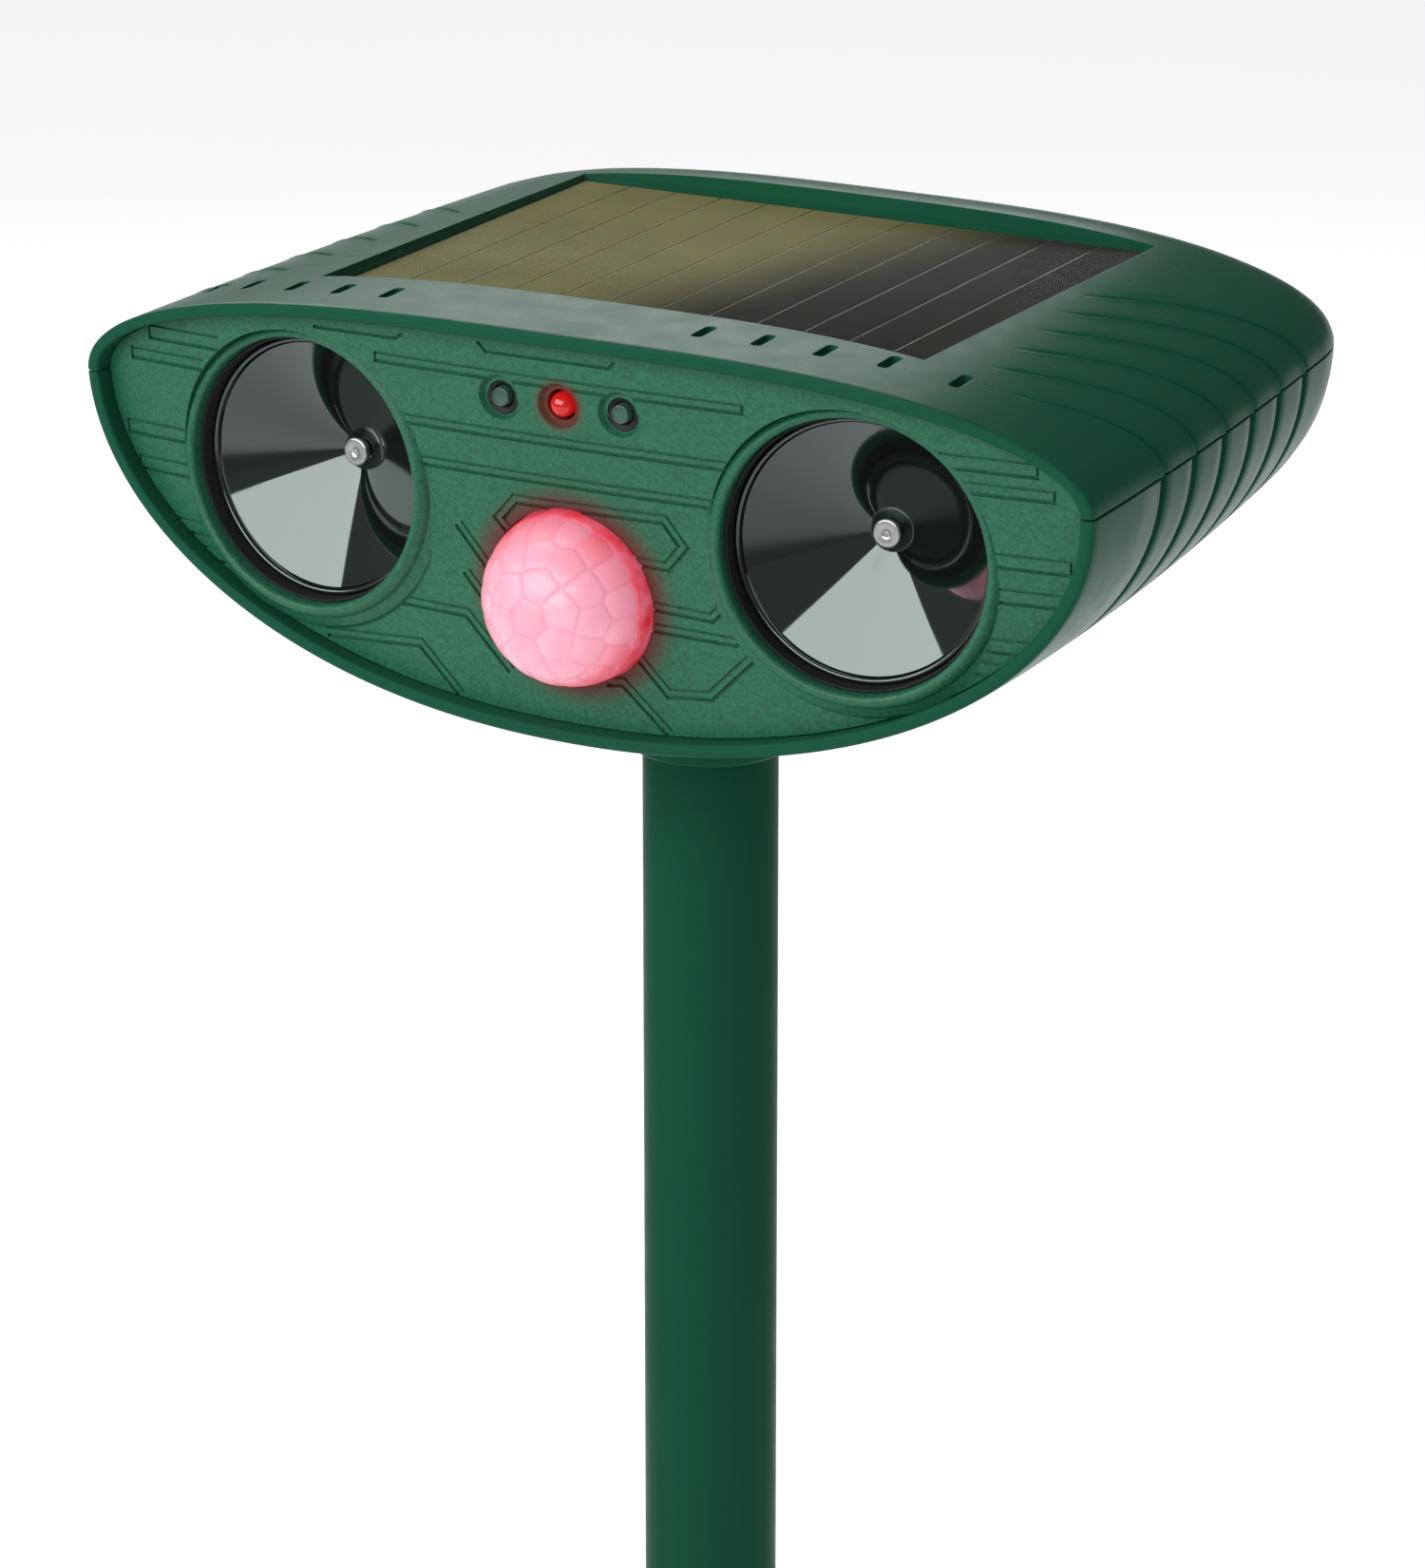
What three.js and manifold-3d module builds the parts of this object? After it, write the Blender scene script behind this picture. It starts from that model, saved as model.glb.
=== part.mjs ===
// Solar ultrasonic pest repeller: a head with two horn speakers, a motion sensor and a solar panel,
// pushed onto a pole with a ground spike. Millimetres, +Z up, the face looks along -Y.
// The origin lies on the pole axis at the ground line.

import * as THREE from 'three';
import { mergeVertices } from 'three/addons/utils/BufferGeometryUtils.js';
import Module from 'manifold-3d';

const wasm = await Module();
wasm.setup();

// ---- Driving dimensions ------------------------------------------------------------------------

const GAP = 0.3; // clearance between neighbouring pieces

// Pole and spike, heights measured from the ground line
const POLE_RADIUS = 9.75;
const POLE_WALL = 1.25;
const POLE_TOP = 172.5;
const SPIKE_LENGTH = 135;
const SPIKE_COLLAR_RADIUS = 15;
const SPIKE_COLLAR_HEIGHT = 4;
const SPIKE_SPIGOT_HEIGHT = 26;
const SPIKE_BLADE_WIDTH = 25;
const SPIKE_BLADE_THICKNESS = 3.2;

// Head: the row of indicator lamps is the head's own zero height
const HEAD_HEIGHT = 201;
const FRONT_Y = -45;
const BACK_Y = 65.9;
const PARTING_Z = -5.6;
const FRONT_LEAN = 0.11;
const FRONT_BOW = 0.0008;
const HALF_WIDTH = { front: 77.5, back: 70.4 };
const CROWN = { front: 16.5, back: 15.4 };
const BELLY = { front: 42.8, back: 33.5 };
const CROWN_POWER = { front: 2.83, back: 3.1 };
const BELLY_POWER = { front: 2.14, back: 3.1 };
const WIDTH_TAPER = 1.7;
const BELLY_TAPER = 1.47;
const BACK_ROUND = { length: 17.5, inset: 11 };
const WALL = 2;
const RING_POINTS = 40;

// Face plate, set back inside the rim
const FACE_DEPTH = 3;
const FACE_THICKNESS = 2.4;

// Speakers
const SPEAKER = { x: 42.3, y: -36.45, z: -15.8, turn: 0.091, radius: 18.5, apexDepth: 10.5 };
const COLLAR = { bore: 18.95, foot: 22.4, top: 20.3, height: 3.4 };

// Motion sensor and lamps
const DOME = { z: -27.4, radius: 12.3 };
const LAMP_PITCH = 9.2;
const LAMP_RADIUS = 1.85;
const LAMP_RECESS_RADIUS = 3.1;

// Solar panel
const SOLAR = { width: 92.5, depth: 73, centreY: 9.8, topZ: 8.1, ledge: 4.2 };

// Controls on the back wall
const DIAL = { x: 24, z: -13, radius: 9 };
const PORT = { x: -24, z: -13, width: 9.2, height: 3.6 };

// Fixings
const SCREW = { shaft: 1.5, head: 3, bore: 1.9, post: 3.8, length: 24 };
const SCREW_PLACES = [
  { x: -46, y: 2 },
  { x: 46, y: 2 },
  { x: -46, y: 47 },
  { x: 46, y: 47 },
];

const LEAD_RADIUS = 0.8;

// Grooves down both sides, and slots along the front of the top
const GROOVES = {
  count: 6,
  firstY: -16.9,
  pitch: 11.25,
  width: 1.2,
  depth: 0.8,
  firstStart: 61,
  start: 56.8,
  startStep: 1.25,
  partingX: 76.6,
  partingXStep: 0.75,
  slant: 0.73,
  slantStep: 0.054,
};
const SLOTS = { xs: [20, 28.5, 37, 45.5, 54], y: -35.6, bow: 0.0016, length: 5, width: 1.3, depth: 0.8 };

// ---- Solid helpers -----------------------------------------------------------------------------

function solid(geometry) {
  const bare = geometry.clone();
  bare.deleteAttribute('normal');
  bare.deleteAttribute('uv');
  const merged = mergeVertices(bare, 1e-4);
  const mesh = new wasm.Mesh({
    numProp: 3,
    vertProperties: new Float32Array(merged.attributes.position.array),
    triVerts: new Uint32Array(merged.index.array),
  });
  return new wasm.Manifold(mesh);
}

function geometryOf(body) {
  const mesh = body.getMesh();
  const geometry = new THREE.BufferGeometry();
  geometry.setAttribute('position', new THREE.BufferAttribute(new Float32Array(mesh.vertProperties), 3));
  geometry.setIndex(new THREE.BufferAttribute(new Uint32Array(mesh.triVerts), 1));
  geometry.computeVertexNormals();
  return geometry;
}

function box(width, depth, height, x, y, z) {
  return solid(new THREE.BoxGeometry(width, depth, height).translate(x, y, z));
}

// Round bar standing on z0, with its axis along Z
function post(radius, z0, z1, x, y, sides = 24) {
  const bar = new THREE.CylinderGeometry(radius, radius, z1 - z0, sides);
  return solid(bar.rotateX(Math.PI / 2).translate(x, y, (z0 + z1) / 2));
}

// Round bar between two depths, with its axis along Y
function barY(radius, y0, y1, x, z, sides = 24) {
  const bar = new THREE.CylinderGeometry(radius, radius, y1 - y0, sides);
  return solid(bar.translate(x, (y0 + y1) / 2, z));
}

// A turned piece from [radius, height] points, with its axis along Z
function turned(points, sides = 28) {
  const profile = points.map(([radius, height]) => new THREE.Vector2(radius, height));
  if (THREE.ShapeUtils.area(profile) < 0) {
    profile.reverse(); // the faces then point outwards
  }
  return new THREE.LatheGeometry(profile, sides).rotateX(Math.PI / 2);
}

// A turned ring or cup whose profile closes on itself
function turnedRing(points, sides = 28) {
  return turned([...points, points[0]], sides);
}

function roundedRectangle(width, height, radius) {
  const shape = new THREE.Shape();
  const x = width / 2;
  const y = height / 2;
  shape.moveTo(-x + radius, -y);
  shape.lineTo(x - radius, -y);
  shape.absarc(x - radius, -y + radius, radius, -Math.PI / 2, 0);
  shape.absarc(x - radius, y - radius, radius, 0, Math.PI / 2);
  shape.absarc(-x + radius, y - radius, radius, Math.PI / 2, Math.PI);
  shape.absarc(-x + radius, -y + radius, radius, Math.PI, Math.PI * 1.5);
  return shape;
}

// Rounded slab facing along Y, from y0 to y1
function slabY(width, height, radius, y0, y1, x, z) {
  const options = { depth: y1 - y0, bevelEnabled: false, curveSegments: 4 };
  const geometry = new THREE.ExtrudeGeometry(roundedRectangle(width, height, radius), options);
  return solid(geometry.rotateX(Math.PI / 2).translate(x, y1, z));
}

// ---- The head's outer form ---------------------------------------------------------------------

function between(pair, t) {
  return THREE.MathUtils.lerp(pair.front, pair.back, t);
}

// Depth of the leaning, slightly bowed front edge
function frontY(x, z) {
  return FRONT_Y + FRONT_BOW * x * x + FRONT_LEAN * (PARTING_Z - z);
}

function power(value, exponent) {
  return Math.sign(value) * Math.abs(value) ** exponent;
}

// One closed cross-section of the head: flat-topped above the parting line, bellied below it
function section(t, inset, backY) {
  const along = Math.max(t, 0);
  const halfWidth = between(HALF_WIDTH, along ** WIDTH_TAPER) - inset;
  const crown = between(CROWN, along) - inset;
  const belly = between(BELLY, along ** BELLY_TAPER) - inset;
  const points = [];
  for (let i = 0; i < RING_POINTS; i += 1) {
    const angle = (2 * Math.PI * i) / RING_POINTS;
    const upper = i <= RING_POINTS / 2;
    const exponent = 2 / between(upper ? CROWN_POWER : BELLY_POWER, along);
    const x = halfWidth * power(Math.cos(angle), exponent);
    const z = PARTING_Z + (upper ? crown : belly) * Math.sin(angle);
    const y = THREE.MathUtils.lerp(frontY(x, z), backY, t);
    points.push(new THREE.Vector3(x, y, z));
  }
  return points;
}

// Closed surface through a row of sections, front to back
function loft(rings) {
  const count = rings[0].length;
  const centre = (ring) => ring.reduce((sum, p) => sum.add(p), new THREE.Vector3()).divideScalar(count);
  const points = [...rings.flat(), centre(rings[0]), centre(rings[rings.length - 1])];
  const index = [];
  for (let k = 0; k < rings.length - 1; k += 1) {
    for (let i = 0; i < count; i += 1) {
      const a = k * count + i;
      const b = k * count + ((i + 1) % count);
      index.push(a, a + count, b, b, a + count, b + count);
    }
  }
  const last = (rings.length - 1) * count;
  for (let i = 0; i < count; i += 1) {
    const next = (i + 1) % count;
    index.push(points.length - 2, i, next);
    index.push(points.length - 1, last + next, last + i);
  }
  const geometry = new THREE.BufferGeometry().setFromPoints(points);
  geometry.setIndex(index);
  return geometry;
}

// The head's outer form moved inwards by an inset; it may start ahead of the front edge
function headForm(inset, startT = 0) {
  const backY = BACK_Y - inset;
  const straight = 1 - BACK_ROUND.length / (BACK_Y - FRONT_Y);
  const rings = [];
  const straightSteps = 4;
  for (let i = 0; i <= straightSteps; i += 1) {
    rings.push(section(THREE.MathUtils.lerp(startT, straight, i / straightSteps), inset, backY));
  }
  const roundSteps = 4;
  for (let i = 1; i <= roundSteps; i += 1) {
    const turn = (i / roundSteps) * (Math.PI / 2);
    const t = THREE.MathUtils.lerp(straight, 1, Math.sin(turn));
    rings.push(section(t, inset + BACK_ROUND.inset * (1 - Math.cos(turn)), backY));
  }
  return solid(loft(rings));
}

// Slab that follows the front edge, between two depths behind it
function frontSlab(depth0, depth1) {
  const reach = 90;
  const steps = 10;
  const edge = (depth) => (_, i) => {
    const x = THREE.MathUtils.lerp(-reach, reach, i / steps);
    return new THREE.Vector2(x, FRONT_Y + FRONT_BOW * x * x + depth);
  };
  const near = Array.from({ length: steps + 1 }, edge(depth0));
  const far = Array.from({ length: steps + 1 }, edge(depth1)).reverse();
  const shape = new THREE.Shape([...near, ...far]);
  const geometry = new THREE.ExtrudeGeometry(shape, { depth: 2 * reach, bevelEnabled: false });
  geometry.translate(0, 0, PARTING_Z - reach);
  const lean = new THREE.Matrix4().set(
    1, 0, 0, 0,
    0, 1, -FRONT_LEAN, FRONT_LEAN * PARTING_Z,
    0, 0, 1, 0,
    0, 0, 0, 1,
  );
  return solid(geometry.applyMatrix4(lean));
}

const outerForm = headForm(0);
const innerForm = headForm(WALL, -0.04);

// Outer skin of the head down to a depth, with some room outside it for cutting
function skin(depth) {
  return headForm(-1, -0.04).subtract(headForm(depth, -0.04));
}

// Upright slice through one side of the head at a depth, which may slant forward towards the middle
function slantingSlice(side, start, y, partingX, slant) {
  const reach = 50;
  const slice = new THREE.BoxGeometry(reach, GROOVES.width, 120);
  slice.translate(start + reach / 2, 0, 0);
  const shear = new THREE.Matrix4().set(
    1, 0, 0, 0,
    slant, 1, 0, y - slant * partingX,
    0, 0, 1, PARTING_Z,
    0, 0, 0, 1,
  );
  const right = solid(slice.applyMatrix4(shear));
  return side > 0 ? right : right.mirror([1, 0, 0]);
}

// Side grooves: they slant forward above the parting line and run straight down below it
function grooveCuts() {
  const groovedSkin = skin(GROOVES.depth);
  const above = box(300, 300, 100, 0, 0, PARTING_Z + 50);
  const below = box(300, 300, 100, 0, 0, PARTING_Z - 50);
  let cuts = null;
  for (let i = 0; i < GROOVES.count; i += 1) {
    const y = GROOVES.firstY + i * GROOVES.pitch;
    const start = i === 0 ? GROOVES.firstStart : GROOVES.start - i * GROOVES.startStep;
    const partingX = GROOVES.partingX - i * GROOVES.partingXStep;
    const slant = GROOVES.slant + i * GROOVES.slantStep;
    let ring = null;
    for (const side of [-1, 1]) {
      const upper = slantingSlice(side, start, y, partingX, slant).intersect(above);
      const lower = slantingSlice(side, start, y, partingX, 0).intersect(below);
      const pair = upper.add(lower).intersect(groovedSkin);
      ring = ring ? ring.add(pair) : pair;
    }
    cuts = cuts ? cuts.add(ring) : ring;
  }
  return cuts;
}

// Short slots along the front of the top
function slotCuts() {
  let cuts = null;
  for (const x of SLOTS.xs) {
    for (const side of [-1, 1]) {
      const y = SLOTS.y + SLOTS.bow * x * x;
      const slot = box(SLOTS.width, SLOTS.length, 60, side * x, y, 30);
      cuts = cuts ? cuts.add(slot) : slot;
    }
  }
  return cuts.intersect(skin(SLOTS.depth));
}

const shell = outerForm.subtract(innerForm);
const grooves = grooveCuts();
const half = GAP / 2;
const aboveParting = box(300, 300, 100, 0, 0, PARTING_Z + half + 50);
const belowParting = box(300, 300, 100, 0, 0, PARTING_Z - half - 50);

// ---- Head pieces -------------------------------------------------------------------------------

function upperShell() {
  const trayFloor = SOLAR.topZ - 4.6;
  const trayHeight = 30;
  const tray = box(SOLAR.width + 4.4, SOLAR.depth + 4.4, trayHeight, 0, SOLAR.centreY, trayFloor + trayHeight / 2);
  const pocket = box(SOLAR.width + 0.6, SOLAR.depth + 0.6, 30, 0, SOLAR.centreY, SOLAR.topZ - 3 + 15);
  const windowWidth = SOLAR.width - 2 * SOLAR.ledge;
  const windowDepth = SOLAR.depth - 2 * SOLAR.ledge;
  const opening = box(windowWidth, windowDepth, 60, 0, SOLAR.centreY, 0);
  let body = shell.intersect(aboveParting);
  body = body.add(tray.intersect(outerForm)).subtract(pocket).subtract(opening);
  for (const place of SCREW_PLACES) {
    body = body.add(post(SCREW.post, PARTING_Z + half, trayFloor + 0.1, place.x, place.y, 12));
  }
  for (const place of SCREW_PLACES) {
    body = body.subtract(post(SCREW.bore, PARTING_Z - 5, 0.5, place.x, place.y, 12));
  }
  return body.subtract(grooves).subtract(slotCuts());
}

const SOCKET = { radius: 11.8, bottom: -60, top: -26 };

function lowerShell() {
  const poleBore = POLE_RADIUS + GAP;
  let body = shell.intersect(belowParting);
  const below = belowParting.intersect(outerForm);
  for (const place of SCREW_PLACES) {
    body = body.add(post(SCREW.post, -60, PARTING_Z - half, place.x, place.y, 12).intersect(below));
  }
  for (const place of SCREW_PLACES) {
    body = body.subtract(post(SCREW.bore, -60, 0, place.x, place.y, 10));
    body = body.subtract(post(SCREW.head + 0.5, -60, screwSeat(place), place.x, place.y, 12));
  }
  body = body.subtract(grooves);
  body = body.add(post(SOCKET.radius, SOCKET.bottom, SOCKET.top, 0, 0, 28));
  body = body.subtract(post(poleBore, SOCKET.bottom - 1, SOCKET.top - 2, 0, 0, 28));
  body = body.subtract(barY(3.6, BACK_Y - 5, BACK_Y + 5, DIAL.x, DIAL.z, 20));
  const portHole = slabY(PORT.width + 0.8, PORT.height + 0.8, 1.6, BACK_Y - 5, BACK_Y + 5, PORT.x, PORT.z);
  return body.subtract(portHole);
}

// Height of the face that a case screw's head bears on
function screwSeat(place) {
  return place.y < 20 ? -26 : -22;
}

function facePlate() {
  const plate = frontSlab(FACE_DEPTH, FACE_DEPTH + FACE_THICKNESS).intersect(headForm(WALL + GAP, -0.04));
  let body = plate;
  for (const side of [-1, 1]) {
    body = body.add(speakerFrame(side, turnedRing([
      [COLLAR.bore - 2, -2.6],
      [COLLAR.foot, -2.6],
      [COLLAR.foot, 0.4],
      [COLLAR.top, COLLAR.height],
      [COLLAR.bore - 2, COLLAR.height],
    ])).intersect(headForm(WALL + GAP, -0.04)));
  }
  for (const side of [-1, 1]) {
    body = body.subtract(speakerFrame(side, turned([[0, -9], [COLLAR.bore, -9], [COLLAR.bore, 9], [0, 9]])));
    body = body.subtract(barY(LAMP_RADIUS + GAP, -60, -20, side * LAMP_PITCH, 0, 12));
  }
  body = body.subtract(barY(LAMP_RADIUS + GAP, -60, -20, 0, 0, 12));
  for (const x of [-LAMP_PITCH, 0, LAMP_PITCH]) {
    body = body.subtract(barY(LAMP_RECESS_RADIUS, -60, frontY(0, 0) + FACE_DEPTH + 0.9, x, 0, 16));
  }
  return body.subtract(barY(DOME.radius + GAP, -60, -20, 0, DOME.z, 24));
}

// Turns a piece made about Z onto one speaker's axis, as a solid
function speakerFrame(side, geometry) {
  return solid(geometry.clone().applyMatrix4(speakerMatrix(side)));
}

// The speaker's own +Z points out of the face, turned outwards with the bow of the face
function speakerMatrix(side) {
  const place = new THREE.Object3D();
  place.position.set(side * SPEAKER.x, SPEAKER.y, SPEAKER.z);
  place.rotation.set(Math.PI / 2, 0, side * SPEAKER.turn, 'ZYX');
  place.updateMatrix();
  return place.matrix;
}

// Conical reflector with a seating flange behind the face plate
function speakerHorn() {
  const depth = SPEAKER.apexDepth;
  const radius = SPEAKER.radius;
  return turned([
    [0, -depth],
    [2, -depth],
    [radius - 0.6, -0.4],
    [radius, 0],
    [radius, -3.9],
    [radius + 2.6, -3.9],
    [radius + 2.6, -5.2],
    [radius - 3, -5.2],
    [3.4, -depth - 1.6],
    [0, -depth - 1.6],
  ]);
}

function speakerCap() {
  return turned([
    [0, -SPEAKER.apexDepth + 0.2],
    [1.7, -SPEAKER.apexDepth + 0.2],
    [1.95, -9.2],
    [1.7, -8.9],
    [0.4, -8.9],
    [0, -9.2],
  ], 12);
}

function speakerDriver() {
  const front = -SPEAKER.apexDepth - 1.9;
  return turned([
    [0, front - 7.5],
    [8, front - 7.5],
    [10.5, front - 6.5],
    [10.5, front - 1],
    [9.5, front],
    [0, front],
  ], 20);
}

function speakerGasket() {
  return turnedRing([
    [SPEAKER.radius - 2, -5.5],
    [SPEAKER.radius - 2, -7],
    [SPEAKER.radius + 2.2, -7],
    [SPEAKER.radius + 2.2, -5.5],
  ]);
}

function domeProfile(radius, steps, drop) {
  const points = [];
  for (let i = 0; i <= steps; i += 1) {
    const angle = (i / steps) * (Math.PI / 2);
    points.push([radius * Math.sin(angle), radius * Math.cos(angle) + drop]);
  }
  return points;
}

// Lens dome with a thin flange behind the face plate; its own +Z points out of the face
function sensorDome() {
  const radius = DOME.radius;
  return turned([
    ...domeProfile(radius, 5, 0),
    [radius, -4.2],
    [radius + 2, -4.2],
    [radius + 2, -5.2],
    [radius - 1, -5.2],
    ...domeProfile(radius - 1, 4, 0).reverse(),
  ], 24);
}

function sensorCan() {
  return turned([[0, 0], [4.6, 0], [4.6, 0.5], [4.1, 0.5], [4.1, 3.8], [0, 3.8]], 14);
}

function lampBulb(radius, length) {
  const tip = domeProfile(radius, 3, length - radius);
  return turned([...tip, [radius, 1], [radius + 0.35, 1], [radius + 0.35, 0], [0, 0]], 12);
}

function flat(width, depth, height) {
  return new THREE.BoxGeometry(width, depth, height);
}

function solarFrame(outerWidth, outerDepth, innerWidth, innerDepth, height) {
  const ring = box(outerWidth, outerDepth, height, 0, 0, 0);
  return geometryOf(ring.subtract(box(innerWidth, innerDepth, height + 2, 0, 0, 0)));
}

function caseScrew(length) {
  return turned([
    [0, 0],
    [1.1, 0.9],
    [1.5, 0.4],
    [2.5, 0.4],
    [SCREW.head, 1.2],
    [SCREW.head, 2.4],
    [SCREW.shaft, 2.4],
    [SCREW.shaft, length - 1.5],
    [0, length],
  ], 10);
}

function boardScrew() {
  return turned([[0, 0], [1, 0], [1, 4], [2, 4], [2, 5], [1.4, 5.5], [0, 5.5]], 8);
}

function cellHolder() {
  const length = 76;
  const width = 23;
  const height = 15;
  const tray = box(length, width, height, 0, 0, height / 2);
  const hollow = box(length - 4, width - 3.4, height, 0, 0, height / 2 + 2);
  return geometryOf(tray.subtract(hollow));
}

function contactSpring(sign) {
  const plate = box(0.6, 14, 12, 0, 0, 0);
  const coil = new THREE.CylinderGeometry(2.2, 4, 1.6, 16).rotateZ(-sign * Math.PI / 2).translate(sign * 1, 0, 0);
  return geometryOf(plate.add(solid(coil)));
}

function batteryCell() {
  return turned([[0, 0], [8.6, 0], [9.1, 0.5], [9.1, 64], [8.4, 64.6], [3, 64.6], [3, 65.6], [0, 65.6]], 20);
}

function circuitBoard(width, height, holes) {
  let board = box(width, 1.6, height, 0, 0, 0);
  for (const [x, z] of holes) {
    board = board.subtract(barY(1.3, -3, 3, x, z, 12));
  }
  return geometryOf(board);
}

// Knob with a grip bar and a spindle; its own +Z points away from the back wall
function modeDial() {
  const knob = solid(turned([
    [0, -5],
    [2.6, -5],
    [2.6, 0],
    [DIAL.radius, 0],
    [DIAL.radius, 1.8],
    [DIAL.radius - 0.8, 2.4],
    [0, 2.4],
  ]));
  const grip = solid(new THREE.BoxGeometry(3.2, 2 * DIAL.radius - 3, 4.4).translate(0, 0, 3.6));
  return geometryOf(knob.add(grip));
}

function sealRing() {
  return turnedRing([[3, -0.8], [4.6, -0.8], [4.6, -0.1], [3, -0.1]], 16);
}

function rotarySwitch() {
  return flat(13, 6, 13);
}

// Rubber flap with a hinge bead along its top edge and a plug that enters the port
function portCover() {
  const flap = slabY(16, 9, 2, 0, 1.4, 0, -5.6);
  const bead = solid(new THREE.CylinderGeometry(0.8, 0.8, 12, 12).rotateZ(Math.PI / 2).translate(0, 0.8, -0.6));
  const neck = box(10, 0.8, 1.6, 0, 0.9, -1);
  const plug = slabY(PORT.width - 0.4, PORT.height - 0.4, 1.4, -1.4, 0.2, 0, -5.6);
  return geometryOf(flap.add(bead).add(neck).add(plug));
}

function chargePort() {
  const shellBody = slabY(PORT.width - 0.2, PORT.height - 0.2, 1.4, 0, 7, 0, 0);
  return geometryOf(shellBody.subtract(slabY(PORT.width - 1.4, PORT.height - 1.4, 0.9, 1.2, 8, 0, 0)));
}

function poleTube() {
  const inner = POLE_RADIUS - POLE_WALL;
  const points = [[inner, 0], [POLE_RADIUS, 0], [POLE_RADIUS, POLE_TOP], [inner, POLE_TOP]];
  return turnedRing(points, 28);
}

// Insulated lead through hand-placed points
function lead(points) {
  const path = new THREE.CatmullRomCurve3(points.map(([x, y, z]) => new THREE.Vector3(x, y, z)));
  const section = new THREE.Shape().absarc(0, 0, LEAD_RADIUS, 0, 2 * Math.PI);
  return new THREE.ExtrudeGeometry(section, { steps: 12, curveSegments: 3, extrudePath: path });
}

// Collar and spigot with two crossed, pointed blades below
function groundSpike() {
  const spigot = POLE_RADIUS - POLE_WALL - GAP;
  const top = -GAP;
  const collar = post(SPIKE_COLLAR_RADIUS, top - SPIKE_COLLAR_HEIGHT, top, 0, 0, 28);
  let body = collar.add(post(spigot, top - 1, SPIKE_SPIGOT_HEIGHT, 0, 0, 28));
  const shape = new THREE.Shape();
  const halfBlade = SPIKE_BLADE_WIDTH / 2;
  shape.moveTo(-halfBlade, top - 1);
  shape.lineTo(-halfBlade, -SPIKE_LENGTH * 0.5);
  shape.quadraticCurveTo(-halfBlade * 0.75, -SPIKE_LENGTH * 0.8, 0, -SPIKE_LENGTH);
  shape.quadraticCurveTo(halfBlade * 0.75, -SPIKE_LENGTH * 0.8, halfBlade, -SPIKE_LENGTH * 0.5);
  shape.lineTo(halfBlade, top - 1);
  const options = { depth: SPIKE_BLADE_THICKNESS, bevelEnabled: false, curveSegments: 6 };
  for (const turn of [0, Math.PI / 2]) {
    const blade = new THREE.ExtrudeGeometry(shape, options).translate(0, 0, -SPIKE_BLADE_THICKNESS / 2);
    body = body.add(solid(blade.rotateX(Math.PI / 2).rotateZ(turn)));
  }
  return geometryOf(body);
}

// ---- Materials and assembly --------------------------------------------------------------------

function paint(colour, roughness, metalness = 0) {
  return new THREE.MeshStandardMaterial({ color: colour, roughness, metalness });
}

const greenPlastic = () => paint(0x1f5b43, 0.42);
const greenGrained = () => paint(0x2f6b50, 0.62);
const blackRubber = () => paint(0x161616, 0.9);
const boardGreen = () => paint(0x0f4a2a, 0.55);
const steel = () => paint(0xb9bcc0, 0.35, 1);

function piece(name, geometry, material, place = {}) {
  const mesh = new THREE.Mesh(geometry, material);
  mesh.name = name;
  mesh.position.set(place.x ?? 0, place.y ?? 0, place.z ?? 0);
  mesh.rotation.set(place.turnX ?? 0, place.turnY ?? 0, place.turnZ ?? 0);
  return mesh;
}

const repeller = new THREE.Group();
repeller.add(piece('ground_spike', groundSpike(), greenPlastic()));
repeller.add(piece('pole_tube', poleTube(), greenPlastic()));

const head = new THREE.Group();
head.position.z = HEAD_HEIGHT;
repeller.add(head);

head.add(piece('upper_shell', geometryOf(upperShell()), greenPlastic()));
head.add(piece('lower_shell', geometryOf(lowerShell()), greenPlastic()));
head.add(piece('face_plate', geometryOf(facePlate()), greenGrained()));

// Solar panel, from its seal up to its cover
const gasketZ = SOLAR.topZ - 2.6;
const gasketGeometry = solarFrame(
  SOLAR.width - 0.4,
  SOLAR.depth - 0.4,
  SOLAR.width - 2 * SOLAR.ledge,
  SOLAR.depth - 2 * SOLAR.ledge,
  0.6,
);
head.add(piece('solar_gasket', gasketGeometry, blackRubber(), { y: SOLAR.centreY, z: gasketZ }));
const cellBoard = flat(SOLAR.width, SOLAR.depth, 1);
head.add(piece('solar_cell_board', cellBoard, paint(0x2a2724, 0.3), { y: SOLAR.centreY, z: SOLAR.topZ - 1.6 }));
const cover = flat(SOLAR.width, SOLAR.depth, 0.9);
head.add(piece('solar_cover', cover, paint(0x3a3630, 0.08), { y: SOLAR.centreY, z: SOLAR.topZ - 0.45 }));

// Speakers
for (const [side, label] of [[-1, 'left'], [1, 'right']]) {
  const speaker = new THREE.Group();
  speaker.applyMatrix4(speakerMatrix(side));
  speaker.add(piece(`speaker_horn_${label}`, speakerHorn(), paint(0x0c0f0e, 0.08, 0.2)));
  speaker.add(piece(`speaker_cap_${label}`, speakerCap(), paint(0xb8bdbb, 0.3, 1)));
  speaker.add(piece(`speaker_driver_${label}`, speakerDriver(), paint(0x202224, 0.5)));
  speaker.add(piece(`speaker_gasket_${label}`, speakerGasket(), blackRubber()));
  head.add(speaker);
}

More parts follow.
